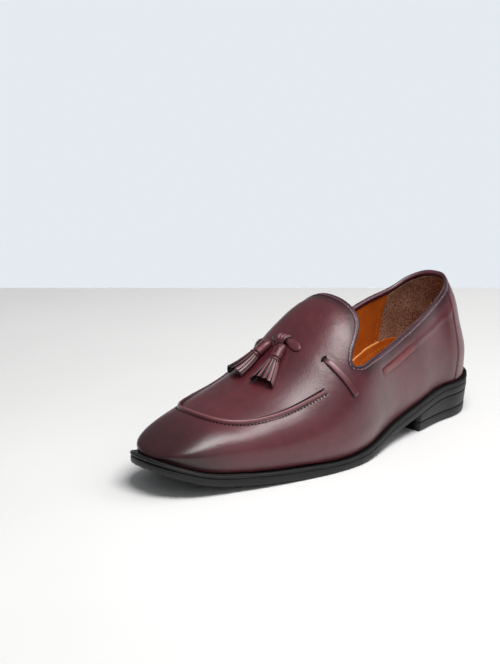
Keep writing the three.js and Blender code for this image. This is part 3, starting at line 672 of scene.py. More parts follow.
def seam_marks(k, up, points):
    """Signed distance to the apron seam, and where it is worth anything."""
    far, index = near_line(points, seam_points)
    line_up = np.interp(k, half_k, half_up, left=half_up[0], right=2.0)
    sign = np.where(up > line_up, 1.0, -1.0)
    along = np.minimum(seam_run[index], seam_run[-1] - seam_run[index])
    return sign * far, smooth(along / 1.2) * smooth((9 - far) / 4)


def tunnel_line():
    """Where the hidden part of the lace swells the leather behind its strip."""
    k = np.linspace(0.288 * LENGTH, COUNTER_REACH, 60)
    return k, np.interp(k, [29, 46, 56.6, 84], [0.47, 0.424, 0.4, 0.381])


def upper_relief(k, up, side, points):
    """Soft unevenness, tunnels and pulls of the leather, in mm outwards."""
    _, _, out = slopes(k, up, side)
    x, y, z = points.T
    height = 0.10 * np.sin(y * 0.11 + x * 0.09) * np.sin(z * 0.13 + x * 0.05)
    height = height + 0.06 * np.sin(y * 0.21 - x * 0.17 + z * 0.1)
    for s in (1, -1):
        here = side == s
        tunnel = form(*tunnel_line(), float(s))
        far, _ = near_line(points[here], tunnel)
        height[here] += 0.4 * np.exp(-(far / 2.0) ** 2)
        strip = form(*strip_line(VAMP_STRIP, s)[:3])
        far, _ = near_line(points[here], strip)
        height[here] -= 0.28 * np.exp(-((far - 2.6) / 1.2) ** 2)
        strip = form(*strip_line(QUARTER_STRIP, s)[:3])
        far, _ = near_line(points[here], strip)
        height[here] -= 0.22 * np.exp(-((far - 2.8) / 1.2) ** 2)
    keep = smooth((LENGTH - k) / 6) * smooth(up / 0.03)
    return out * (height * keep)[:, None]


def make_upper():
    patches = half_patches()
    points, faces, (k, up, side) = shell(patches, 0.0, 1.15, upper_relief)
    count = len(k)
    outer = points[:count]
    seam, weight = seam_marks(k, up, form(k, up, side))
    loop = form(*collar_loop()[:3])
    edge, _ = near_line(outer, loop)
    foot = outer[:, 2] - edge_height(LENGTH / 2 - outer[:, 1])
    # Darker marks: the toe partly burnished and partly painted shade toward the floor; painted shade where the upper
    # meets the sole and under the collar band
    toe = smooth((k / LENGTH - 0.82) / 0.15)
    low = toe * smooth((0.8 - up) / 0.7) * (0.6 + 0.4 * smooth(up / 0.12))
    painted_shade_and_burnish = np.maximum.reduce([
        0.68 * toe, 0.92 * low,
        0.5 * smooth((3.0 - foot) / 3.0),
        0.68 * smooth((10.5 - edge) / 6.0) * smooth((0.53 - k / LENGTH) / 0.04),
        0.42 * smooth((6.0 - edge) / 4.0),
    ])
    both = lambda values: np.concatenate([values, values])
    marks = {"painted_shade_and_burnish": both(painted_shade_and_burnish), "seam": both(seam), "seam_weight": both(weight)}
    return add_mesh("upper_leather", points, faces, BURGUNDY, ["upper"], "burgundy_leather", marks)


def collar_loop(step=1.1):
    """Even places round the whole collar: k, up, side, the way down and the run."""
    g_side = np.linspace(0, collar_gone[-1], 900)
    k, up = collar(g_side)
    k = np.concatenate([k, k[-2:0:-1]])
    up = np.concatenate([up, up[-2:0:-1]])
    side = np.concatenate([np.ones(900), -np.ones(898)])
    points = form(k, up, side)
    steps = np.linalg.norm(np.diff(np.concatenate([points, points[:1]]), axis=0), axis=1)
    run = np.concatenate([[0], np.cumsum(steps)])
    count = int(run[-1] / step)
    wanted = np.linspace(0, run[-1], count, endpoint=False)
    index = np.clip(np.searchsorted(run, wanted), 0, len(k) - 1)
    k, up, side, points = k[index], up[index], side[index], points[index]
    after, before = np.roll(points, -1, 0), np.roll(points, 1, 0)
    out = slopes(k, up, side)[2]
    down = unit(np.cross(out, after - before))
    for _ in range(3):
        down = unit(down + 0.5 * (np.roll(down, 1, 0) + np.roll(down, -1, 0)))
    return k, up, side, down, wanted


def make_binding():
    """The folded band of the collar, narrower round the tongue, and its stitches."""
    k, up, side, down, run = collar_loop()
    tongue = np.minimum(smooth((k / LENGTH - 0.44) / 0.05) * smooth((up - 0.46) / 0.05), 1)
    width = mix(1.0, 0.72, tongue)
    rings = []

    def leg(depth, inset):
        kk, uu, ss = walk(k, up, side, down * (depth * width)[:, None])
        return form(kk, np.minimum(uu, 1), ss, inset)

    def raised(inset, height):
        return form(k, up, side, inset) - down * height

    for depth, inset in ((3.85, -0.08), (3.8, -0.3), (3.6, -0.44), (3.2, -0.42), (2.85, -0.3), (2.5, -0.42),
                         (1.8, -0.5), (0.9, -0.54), (0.2, -0.5)):
        rings.append(leg(depth, inset))
    for inset, height in ((-0.36, 0.28), (-0.05, 0.5), (WALL / 2, 0.64), (WALL + 0.05, 0.5), (WALL + 0.36, 0.25)):
        rings.append(raised(inset, height))
    for depth, inset in ((0.6, WALL + 0.5), (2.0, WALL + 0.44), (2.7, WALL + 0.34), (2.9, WALL + 0.05)):
        rings.append(leg(depth, inset))
    rings.append(leg(1.6, WALL * 0.75))
    rings.append(leg(1.6, WALL * 0.25))
    rings = np.stack(rings, 1)
    points, faces = sweep(rings, closed=True)
    # Painted shade along the band's lower edge and its stitch row, with a slow change of tone along the band
    dark = np.zeros(rings.shape[:2])
    dark[:, :2] = 0.8
    dark[:, 3:6] = 0.5
    dark += 0.2 * (0.5 + 0.5 * np.sin(run * 0.15))[:, None]
    # Painted highlight on the band's lower bead and on its rolled top
    light = np.zeros(rings.shape[:2])
    light[:, 2] = 0.35
    light[:, 10:12] = 0.3
    light[:, 12:14] = 0.75
    marks = {"painted_shade_and_burnish": dark.ravel(), "painted_highlight": light.ravel()}
    add_mesh("collar_edge", points, faces, COLLAR, ["collar_binding"], "dark_leather", marks)
    steps = np.arange(0, run[-1], 2.0)
    index = np.clip(np.searchsorted(run, steps), 0, len(k) - 1)
    kk, uu, ss = walk(k[index], up[index], side[index], down[index] * (2.85 * width[index])[:, None])
    centres = form(kk, np.minimum(uu, 1), ss, -0.5)
    ways = np.roll(form(k, up, side), -2, 0)[index] - form(k, up, side)[index]
    outs = slopes(kk, uu, ss)[2]
    stitches = beads(centres, ways + down[index] * 0.3, outs, 1.45, 0.55, 0.6)
    add_mesh("collar_stitches", *stitches, MAUVE_THREAD)


def make_lining():
    patches = half_patches(20, 36, 16, 5, 20, 16, 56)
    points, faces, (k, up, side) = shell(patches, 1.25, WALL)
    add_mesh("tan_lining_leather", points, faces, TAN, (), "tan_leather")


def make_counter():
    """The piece over the back of the heel, with a rounded front edge."""
    parts = []
    columns, rows = 56, 46
    share = np.linspace(0, 1, rows + 1)
    grids = []
    for side in (1, -1):
        k_top = np.linspace(0, COUNTER_REACH, columns + 1)
        up_top = collar_up(k_top)
        _, along_up, _ = slopes(k_top, up_top, side)
        high = walk(k_top, up_top, side, unit(along_up) * -4.1)[1]
        up = mix(0.012, high[:, None], share[None])
        k = k_top[:, None] * (1 + 0.06 * (1 - share[None]))
        grids.append((k, up, side))
    left, right = grids
    k = np.concatenate([right[0][:0:-1], left[0]])
    up = np.concatenate([right[1][:0:-1], left[1]])
    side = np.concatenate([np.full(right[0][:0:-1].shape, -1.0), np.ones(left[0].shape)])
    count = k.shape[0]
    from_edge = np.minimum(np.arange(count), np.arange(count)[::-1])[:, None] * (COUNTER_REACH / columns)
    from_top = (1 - share[None]) * 60
    lift = 0.4 * np.sqrt(smooth(np.minimum(from_edge, 1.4) / 1.4 * 0.999 + 0.001))
    lift = lift * (0.35 + 0.65 * smooth(from_top / 2.0))
    outer = form(k, up, side, -0.12 - lift)
    inner = form(k, up, side, -0.04)
    faces = grid_faces(count, rows + 1)
    size = count * (rows + 1)
    faces += [tuple(v + size for v in f) for f in grid_faces(count, rows + 1)]
    ring = [j for j in range(rows + 1)]
    ring += [i * (rows + 1) + rows for i in range(1, count)]
    ring += [(count - 1) * (rows + 1) + j for j in range(rows - 1, -1, -1)]
    ring += [i * (rows + 1) for i in range(count - 2, 0, -1)]
    faces += [(a, b, b + size, a + size) for a, b in zip(ring, ring[1:] + ring[:1])]
    # Darker marks: painted shade under the collar band, at the sole and along the front edge's step; darker at the top
    # of the centre back
    back = smooth((7 - np.abs(k)) / 5) * smooth((share[None] - 0.55) / 0.4)
    painted_shade_and_burnish = np.maximum.reduce([
        0.7 * smooth((share[None] - 0.86) / 0.14) + 0 * k,
        0.55 * smooth((0.05 - share[None]) / 0.05) + 0 * k,
        0.8 * back, 0.45 * smooth((1.0 - from_edge) / 1.0) + 0 * k]).ravel()
    points = np.concatenate([outer.reshape(-1, 3), inner.reshape(-1, 3)])
    add_mesh("heel_counter_leather", points, faces, RIDGE, ["heel_counter"], "burgundy_leather",
             {"painted_shade_and_burnish": np.concatenate([painted_shade_and_burnish, painted_shade_and_burnish])})
    rows_up = np.linspace(0.06, 0.94, 34)
    centres, ways, outs = [], [], []
    for k, up, s in grids:
        line_k = np.interp(rows_up, share, k[-1]) - 2.2
        line_up = np.interp(rows_up, share, up[-1])
        p = form(line_k, line_up, s, -0.72)
        centres.append(p)
        ways.append(np.gradient(p, axis=0))
        outs.append(slopes(line_k, line_up, s)[2])
    stitches = beads(np.concatenate(centres), np.concatenate(ways), np.concatenate(outs), 1.25, 0.36, 0.26)
    add_mesh("counter_stitches", *stitches, MAUVE_THREAD)


def ridge_rings(k, up, side, profile, scale=None):
    """Rings of a profile (across, height) laid along a line over the form."""
    points = form(k, up, side)
    ways = unit(np.gradient(points, axis=0))
    out = slopes(k, up, side)[2]
    across = unit(np.cross(out, ways))
    rings = []
    for a, h in profile:
        a, h = np.asarray(a, float) + 0 * k, np.asarray(h, float) + 0 * k
        if scale is not None:
            h = h * scale
        rings.append(over(k, up, side, across * a[:, None], h))
    return np.stack(rings, 1), ways, out, across


def make_apron_seam():
    """The pinched ridge, its stitches in the groove and its row of slots."""
    k, up, side, run = seam_k, seam_up, seam_side, seam_run
    points = form(k, up, side)
    out = slopes(k, up, side)[2]
    across = unit(np.cross(out, unit(np.gradient(points, axis=0))))
    probe = over(k, up, side, across * 2.0, np.zeros(len(k)))
    inward = np.sign((probe - points)[len(k) // 2] @ np.array([0, 1.0, 0]))
    along = np.minimum(run, run[-1] - run)
    rise = 0.8 + 0.2 * smooth(along / 2.5)
    pinch = 1 + 0.05 * np.sin(run * 2 * math.pi / 2.3)
    profile = [(-2.1, -0.12), (-1.8, 0.16), (-1.35, 0.75), (-0.9, 1.4), (-0.4, 1.8), (0.1, 1.92),
               (0.5, 1.78), (0.8, 1.3), (0.98, 0.6), (1.1, 0.0), (1.0, -0.16), (0, -0.16)]
    profile = [(a * inward, h) for a, h in profile]
    scale = rise * pinch
    rings, ways, out, across = ridge_rings(k, up, side, profile, scale)
    body, faces = sweep(rings, round_ends=0.35)
    around = len(profile)
    # Painted shade at the ridge's feet and underside, painted highlight along its top
    dark = np.array([0.75, 0.5, 0.15, 0, 0, 0, 0.1, 0.5, 0.85, 0.95, 0.95, 0.95])
    light = np.array([0, 0, 0.15, 0.4, 0.62, 0.5, 0.15, 0, 0, 0, 0, 0])
    rows = len(body) // around
    add_mesh("apron_seam_ridge", body, faces, RIDGE, ["apron_seam"], "burgundy_leather",
             {"painted_shade_and_burnish": np.tile(dark, rows), "painted_highlight": np.tile(light, rows)})
    # The first row is stitches; the second, below the ridge, is dark beads that stand for the slots, painted with the
    # shade inside them
    parts = []
    for offset, pitch, height, length, width in ((1.6, 1.9, 0.06, 1.4, 0.75), (-2.6, 2.4, 0.04, 1.6, 1.05)):
        steps = np.arange(1.6, run[-1] - 1.6, pitch)
        signed = np.interp(steps, run, side * (1 - up))
        kk, uu, ss = np.interp(steps, run, k), 1 - np.abs(signed), np.where(signed >= 0, 1.0, -1.0)
        cross = np.stack([np.interp(steps, run, across[:, i]) for i in range(3)], 1)
        way = np.stack([np.interp(steps, run, ways[:, i]) for i in range(3)], 1)
        normal = np.stack([np.interp(steps, run, out[:, i]) for i in range(3)], 1)
        centres = over(kk, uu, ss, cross * offset * inward, np.full(len(kk), height))
        parts.append(beads(centres, way + cross * 0.35 * inward, normal, length, width, 0.4))
    add_mesh("apron_stitches", *joined(parts), DARK_THREAD_AND_HOLE_SHADE)


STRIP_PROFILE = [(-0.5, 0.05), (-0.5, 0.45), (-0.46, 0.8), (-0.36, 1.0), (-0.15, 1.08), (0.15, 1.08),
                 (0.36, 1.0), (0.46, 0.8), (0.5, 0.45), (0.5, 0.05), (0.25, 0.0), (-0.25, 0.0)]


def make_vamp_strip(name, side):
    k, up, sides, run = strip_line(VAMP_STRIP, side, 0.6)
    share = run / run[-1]
    height = 0.3 + 1.2 * smooth(share / 0.12) * smooth((1.02 - share) / 0.06)
    width = 4.2 * (0.84 + 0.16 * smooth(share / 0.12))
    profile = [(a * width, h * height + 0.05) for a, h in STRIP_PROFILE]
    rings, ways, out, across = ridge_rings(k, up, sides, profile)
    points, faces = sweep(rings, round_ends=0.5)
    # Painted shade at the strip's ends, where it goes into its slits, and along its sides and underside; painted
    # highlight on its top near the upper end
    ends = 0.95 * smooth((0.07 - share) / 0.07) + 0.6 * smooth((share - 0.95) / 0.05)
    ends = np.concatenate([[0.95] * 4, ends, [0.9] * 4])
    edge = np.array([0.9, 0.8, 0.45, 0.08, 0, 0, 0.08, 0.45, 0.8, 0.9, 0.9, 0.9])
    top = np.concatenate([[0] * 4, smooth(share / 0.06) * smooth((0.75 - share) / 0.6), [0] * 4])
    light = np.array([0, 0, 0.1, 0.5, 0.4, 0.4, 0.5, 0.1, 0, 0, 0, 0])
    marks = {"painted_shade_and_burnish": np.maximum(ends[:, None], edge[None]).ravel(), "painted_highlight": (top[:, None] * light[None]).ravel()}
    add_mesh(name, points, faces, LACE, [name.replace("_lace", "")], "lace_leather", marks)
    return [slit(k[0], up[0], side, across[0] * 2.9, ways[0] * 1.35, out[0], 0.9),
            slit(k[-1], up[-1], side, across[-1] * 2.2, -ways[-1] * 0.6, out[-1])]


def slit(k, up, side, across, along, out, back=0.4):
    """A dark lens over a cut in the leather, at a strip's end: painted shade inside the cut."""
    centre = form(k, up, side) - along * back
    turn = np.linspace(0, 2 * math.pi, 20, endpoint=False)

    def ring(size, lift):
        return centre + (np.cos(turn)[:, None] * across + np.sin(turn)[:, None] * along) * size + out * lift

    rings = [ring(0.9, -0.3), ring(0.94, 0.02), ring(0.8, 0.07), ring(0.45, 0.07), ring(0.05, 0.06)]
    points = np.concatenate(rings)
    faces = grid_faces(len(rings), 20, 0, True)
    faces.append(tuple(range(20)))
    faces.append(tuple(reversed(range(80, 100))))
    return points, faces


def make_quarter_strip(name, side):
    k, up, sides, run = strip_line(QUARTER_STRIP, side, 0.8)
    share = run / run[-1]
    height = 0.1 + 0.42 * smooth(share / 0.08) * smooth((1 - share) / 0.08)
    profile = [(a * 4.9, h * height + 0.03) for a, h in STRIP_PROFILE]
    rings, ways, out, across = ridge_rings(k, up, sides, profile)
    points, faces = sweep(rings, round_ends=0.3)
    # Painted shade at the strip's ends and along its sides; painted highlight on its shoulders
    ends = 0.5 * smooth((0.05 - share) / 0.05) + 0.5 * smooth((share - 0.95) / 0.05)
    ends = np.concatenate([[0.5] * 4, ends, [0.5] * 4])
    edge = np.array([0.7, 0.5, 0.3, 0.1, 0, 0, 0.1, 0.3, 0.5, 0.7, 0.7, 0.7])
    light = np.tile([0, 0.1, 0.2, 0.1, 0, 0, 0.1, 0.2, 0.1, 0, 0, 0], len(share) + 8)
    marks = {"painted_shade_and_burnish": np.maximum(ends[:, None], edge[None]).ravel(), "painted_highlight": light}
    add_mesh(name, points, faces, RED_LACE, [name.replace("_lace", "")], "lace_leather", marks)
    tunnel = tunnel_line()
    place_k, place_up = tunnel[0][30], tunnel[1][30]
    hole_out = slopes(place_k, place_up, float(side))[2]
    p = form(place_k + np.array([-1.0, 1.0]), place_up + 0.003, float(side))
    way = unit(p[1] - p[0])
    return [slit(k[0], up[0], side, across[0] * 2.3, ways[0] * 0.5, out[0]),
            slit(k[-1], up[-1], side, across[-1] * 2.3, -ways[-1] * 0.5, out[-1]),
            slit(place_k, place_up, side, way * 1.3, np.cross(hole_out, way) * 0.45, hole_out, 0.0)]


def over_vamp(from_heel, x, height):
    """A point above the vamp at a distance from the heel and the centre."""
    from_heel, x, height = np.broadcast_arrays(*[np.asarray(v, float) for v in (from_heel, x, height)])
    side = np.where(x >= section(from_heel, "bend") + section(from_heel, "lean"), 1.0, -1.0)
    low, high = np.full(x.shape, BELLY), np.ones(x.shape)
    for _ in range(34):
        middle = (low + high) / 2
        beyond = (form(from_heel, middle, side)[..., 0] - x) * side > 0
        low, high = np.where(beyond, middle, low), np.where(beyond, high, middle)
    return form(from_heel, low, side) + slopes(from_heel, low, side)[2] * height[..., None]


def tube_over(rows, around=14):
    """A soft tube over the vamp. Rows: from heel, x, half, tall, height of its underside."""
    rows = np.asarray(rows, float)
    g = np.concatenate([[0], np.cumsum(np.hypot(np.diff(rows[:, 0]), np.diff(rows[:, 1])))])
    to = np.linspace(0, g[-1], max(int(g[-1] / 0.6), 8))
    smooth_rows = np.stack([np.clip(spline(g, rows[:, i])(to), rows[:, i].min(), rows[:, i].max()) for i in range(5)], 1)
    way = unit(np.gradient(smooth_rows[:, :2], axis=0))
    turn = np.linspace(0, 2 * math.pi, around, endpoint=False)
    rings = []
    for (s, x, half, tall, lift), w in zip(smooth_rows, way):
        a = np.cos(turn) * half
        rings.append(over_vamp(s - w[1] * a, x + w[0] * a, lift + tall / 2 * (1 + np.sin(turn))))
    return sweep(rings, round_ends=0.6)


def make_knot():
    """Stub, two crossed wraps and the flat tab of the lace."""
    at = KNOT_AT
    parts = [
        tube_over([(at - 1.4, -9.5, 1.3, 1.2, 0.15), (at - 0.9, -7.5, 1.9, 1.7, 0.3), (at - 0.2, -4, 1.9, 2.0, 0.5),
                   (at, -1, 1.7, 1.8, 0.8)]),
        tube_over([(at - 3.3, -3.9, 1.0, 1.4, 0.15), (at - 2.3, -3.3, 1.45, 1.8, 1.3), (at, -2.5, 1.5, 1.9, 2.2),
                   (at + 2.3, -1.9, 1.45, 1.8, 1.3), (at + 3.3, -1.5, 1.0, 1.4, 0.15)]),
        tube_over([(at - 3.3, -0.4, 1.0, 1.4, 0.15), (at - 2.3, 0.0, 1.3, 1.8, 1.4), (at, 0.5, 1.35, 1.9, 2.3),
                   (at + 2.3, 0.9, 1.3, 1.8, 1.4), (at + 3.3, 1.2, 1.0, 1.4, 0.15)]),
        tube_over([(at - 3.4, 4.4, 1.0, 1.4, 0.15), (at - 2.3, 3.8, 1.5, 1.9, 1.4), (at, 3.1, 1.6, 2.1, 2.3),
                   (at + 2.3, 2.5, 1.5, 1.9, 1.4), (at + 3.4, 2.1, 1.0, 1.4, 0.15)]),
        tube_over([(at - 0.4, 3.0, 1.4, 1.8, 0.9), (at - 0.5, 5.4, 1.5, 1.5, 0.9), (at - 0.3, 8.5, 2.3, 1.15, 0.6),
                   (at + 0.1, 12.0, 2.6, 1.05, 0.4), (at + 0.3, 14.8, 2.2, 1.0, 0.3), (at + 0.3, 16.6, 1.2, 0.8, 0.3)]),
    ]
    points, faces = joined(parts)
    x = points[:, 0]
    # Darker towards the stub's end, and painted shade where the tab meets the wraps; painted highlight on the wraps'
    # tops
    dark = np.maximum(0.8 * smooth((-4.5 - x) / 2.5), 0.1)
    dark = np.maximum(dark, 0.75 * smooth((1.1 - np.abs(x - 5.2)) / 0.8))
    raised = np.concatenate([np.full(len(part[0]), i in (1, 2, 3)) for i, part in enumerate(parts)])
    light = np.where(raised, 0.3, 0.0) * smooth((points[:, 2] - np.percentile(points[:, 2], 70)) / 1.5)
    add_mesh("lace_knot_wraps", points, faces, LACE, ["lace_knot"], "lace_leather", {"painted_shade_and_burnish": dark, "painted_highlight": light})


TASSELS = {
    "tassel_left": {"at": 0.618, "across": 0.054, "turn": 15.9, "level": 0.8},
    "tassel_right": {"at": 0.618, "across": -0.081, "turn": -16.5, "level": 0.78},
}
TASSEL_LENGTH, CAP_LENGTH, CAP_RADIUS = 34.0, 11.6, 4.6


def make_tassel(name, row, seed):
    """A laced cap, a band, and a skirt of flat strands round a hollow painted dark as shade."""
    rng = np.random.default_rng(seed)
    turn = math.radians(row["turn"])

    def at(along, across, height):
        far = np.asarray(along) * row["level"]
        from_heel = row["at"] * LENGTH + far * math.cos(turn) - np.asarray(across) * math.sin(turn)
        x = row["across"] * BALL_WIDTH + far * math.sin(turn) + np.asarray(across) * math.cos(turn)
        return over_vamp(from_heel, x, height)

    around = 30
    angle = np.linspace(0, 2 * math.pi, around, endpoint=False)
    # The third number of a cap row is painted shade: in the band's grooves and at the cap's top, where it meets the
    # knot
    cap_rows = [(-0.16, 0.5, 0.6), (-0.08, 0.62, 0.3), (0.02, 0.7, 0.1), (0.15, 0.76, 0), (0.35, 0.79, 0), (0.55, 0.82, 0),
                (0.76, 0.86, 0), (0.86, 0.88, 0.3), (0.875, 0.8, 1.0), (0.93, 0.8, 1.0), (0.945, 0.9, 0.4), (1.0, 0.92, 0.1),
                (1.06, 0.93, 0.1), (1.075, 0.8, 1.0), (1.14, 0.72, 1.0)]
    rings, dark = [], []
    for share, size, shade in cap_rows:
        radius = CAP_RADIUS * size
        rings.append(at(CAP_LENGTH * share, np.cos(angle) * radius, 0.45 + (1 + np.sin(angle)) * radius * 0.82))
        dark.append(np.full(around, float(shade)))
    points, faces = sweep(rings, round_ends=0.3)
    parts = [(points, faces)]
    shades = [np.concatenate([dark[0]] * 4 + dark + [dark[-1]] * 4)]
    lights = [np.zeros(len(points))]

    # The hollow inside the skirt: a form painted fully dark, which stands for the shade there
    core = []
    for share in np.linspace(0, 1, 7):
        along = mix(CAP_LENGTH * 0.95, TASSEL_LENGTH * 0.86, share)
        wide, tall = mix(2.4, 6.0, share), mix(2.0, 2.1, share)
        core.append(at(along, np.cos(angle) * wide, np.maximum(0.42, 0.45 + tall + np.sin(angle) * tall)))
    points, faces = sweep(core, round_ends=0.1)
    parts.append((points, faces))
    shades.append(np.ones(len(points)))
    lights.append(np.zeros(len(points)))

    count = 8
    for i in range(count + 4):
        under = i >= count
        share_round = (i + 0.5) / count if not under else (i - count + 0.8) / 4.6
        theta = math.pi * (-0.1 + 1.2 * share_round)
        end = TASSEL_LENGTH * (1 - rng.uniform(0.0, 0.05)) * (0.93 if under else 1.0)
        sway, curl = rng.uniform(-0.35, 0.35), rng.uniform(-0.3, 0.5)
        twist = rng.uniform(-0.35, 0.35)
        reach = 0.62 if under else 1.0
        rings = []
        for share in np.linspace(0, 1, 15):
            along = mix(CAP_LENGTH * 1.02, end, share)
            opened = share ** 0.85
            wide, tall = mix(3.5, 8.6, opened) * reach, mix(3.3, 4.4, opened) * reach
            centre = np.array([0.0, mix(3.4, 2.4, opened)])
            middle = centre + [math.cos(theta) * wide + sway * share, math.sin(theta) * tall + curl * share**3]
            tangent = np.array([-math.sin(theta) * wide, math.cos(theta) * tall])
            tangent = tangent / np.linalg.norm(tangent)
            t = twist * share
            tangent = np.array([tangent[0] * math.cos(t) - tangent[1] * math.sin(t),
                                tangent[0] * math.sin(t) + tangent[1] * math.cos(t)])
            normal = np.array([-tangent[1], tangent[0]])
            if normal @ (middle - centre) < 0:
                normal = -normal
            half = mix(0.74, 1.3, opened)
            ring = []
            for a, b in ((-1, -0.3), (-1, 0.2), (-0.9, 0.42), (0, 0.5), (0.9, 0.42), (1, 0.2), (1, -0.3), (0.9, -0.5),
                         (0, -0.42), (-0.9, -0.5)):
                ring.append(middle + tangent * a * half + normal * b * 0.85)
            ring = np.array(ring)
            ring[:, 1] = np.maximum(ring[:, 1], 0.42)
            rings.append(at(np.full(10, along), ring[:, 0], ring[:, 1]))
        body, faces = sweep(rings, round_ends=0.12)
        parts.append((body, faces))
        rows = len(body) // 10
        row_share = np.repeat(np.clip((np.arange(rows) - 4) / 14, 0, 1), 10)
        # Painted shade on each strand's underside, near the cap, at its end and on the strands underneath; a random
        # offset varies the tone
        tones = np.tile(np.array([0.95, 0.8, 0.25, 0.0, 0.25, 0.8, 0.95, 1.0, 1.0, 1.0]), rows)
        tones = np.maximum(tones + rng.uniform(-0.05, 0.3), 0.8 * smooth((0.1 - row_share) / 0.1))
        tones = np.maximum(tones, 0.85 * (np.repeat(np.arange(rows), 10) > rows - 5))
        shades.append(np.clip(np.maximum(tones, 0.75 if under else 0), 0, 1))
        # Painted highlight along each upper strand's top face
        face = np.tile(np.array([0, 0, 0.6, 1.0, 0.6, 0, 0, 0, 0, 0]), rows) * rng.uniform(0.05, 0.8)
        lights.append(face * smooth(row_share / 0.25) * (0.0 if under else 1.0))
    points, faces = joined(parts)
    add_mesh(name + "_strands", points, faces, LACE, [name], "lace_leather",
             {"painted_shade_and_burnish": np.concatenate(shades), "painted_highlight": np.concatenate(lights)})
    centres, ways = [], []
    for i in range(4):
        for lean in (-1, 1):
            share = 0.16 + 0.19 * i
            angle = math.radians(88)
            radius = CAP_RADIUS * 0.82

            def on_cap(turned, more=0.0):
                return at(CAP_LENGTH * (share + more), math.cos(angle + turned) * radius,
                          0.5 + (1 + math.sin(angle + turned)) * radius * 0.82)

            centres.append(on_cap(0.0))
            ways.append(on_cap(0.25 * lean, 0.08) - on_cap(-0.25 * lean, -0.08))
    outs = np.tile([0.2, -0.3, 0.9], (len(centres), 1))
    return beads(np.array(centres), np.array(ways), outs, 1.7, 0.36, 0.36)


def foot_outline(k, inset, height):
    """Points round the foot's outline: outer side forward, inner side back."""
    left, right = form(k, 0, 1.0, inset), form(k, 0, -1.0, inset)
    left[:, 2] = height(LENGTH / 2 - left[:, 1])
    right[:, 2] = height(LENGTH / 2 - right[:, 1])
    return left, right


def slab(name, k, rings, material, stands_for, slot, breast=0, dark=None):
    """A piece with the foot's outline, from rings of an inset and a height."""
    levels = []
    inner_side = list(range(-1, -len(k), -1))
    if not breast:
        inner_side = inner_side[:-1] + [len(k) - 1]
    for inset, height in rings:
        left, right = foot_outline(k, inset, height)
        middle = []
        if breast:
            share = np.linspace(0, 1, breast + 2)[1:-1, None]
            middle = [left[-1] + (right[-1] - left[-1]) * share]
        levels.append(np.concatenate([left, *middle, right[(-1 if breast else -2):0:-1]]))
    levels = np.stack(levels)
    count = levels.shape[1]
    faces = grid_faces(len(levels), count, 0, True)
    points = [levels.reshape(-1, 3)]
    n = len(k)
    start = len(levels) * count
    for level, flip in ((levels[0], False), (levels[-1], True)):
        base = 0 if not flip else (len(levels) - 1) * count
        cross = np.linspace(0, 1, 13)[1:-1]
        inner_start = start
        across = np.array([0] + [v % count for v in inner_side])
        left, right = level[:n], level[across]
        inner = left[:, None] + (right - left)[:, None] * cross[None, :, None]
        points.append(inner.reshape(-1, 3))
        width = len(cross)
        index = np.empty((n, width + 2), int)
        index[:, 0] = base + np.arange(n)
        index[:, -1] = base + across
        index[:, 1:-1] = inner_start + np.arange(n * width).reshape(n, width)
        index[0, :] = base
        for i in range(n - 1):
            for j in range(width + 1):
                faces.append((index[i, j], index[i, j + 1], index[i + 1, j + 1], index[i + 1, j]))
        if breast:
            edge = [base + n - 1 + j for j in range(breast + 2)]
            faces.append(tuple(edge + [int(v) for v in index[n - 1, -2:0:-1]]))
        start += n * width
    points = np.concatenate(points)
    # Painted shade per ring, from the dark list
    shade = np.zeros(len(points))
    if dark is not None:
        shade[:len(rings) * count] = np.repeat(dark, count)
    # Ribs of the underside, away from its edge
    tread = np.zeros(len(points))
    inner = tread[len(rings) * count + n * 11:].reshape(n, 11)
    inner[8:-8, 2:-2] = 1.0
    return add_mesh(name, points, faces, material, stands_for, slot, {"painted_shade_and_burnish": shade, "tread": tread})


def heel_stations(count=90, end=LENGTH):
    first = np.linspace(0, 1, 40) ** 0.8 * HEEL_AXIS
    return np.concatenate([first[:-1], np.linspace(HEEL_AXIS, end, count)])


def toe_stations():
    share = np.sin(np.linspace(0, math.pi / 2, 110))
    return np.concatenate([heel_stations(60, 170.0)[:-1], 170 + (LENGTH - 170) * share])


def sole_top(k):
    return edge_height(k) - GAP


def sole_bottom(k):
    return np.maximum(sole_top(k) - SOLE_THICK, 0)


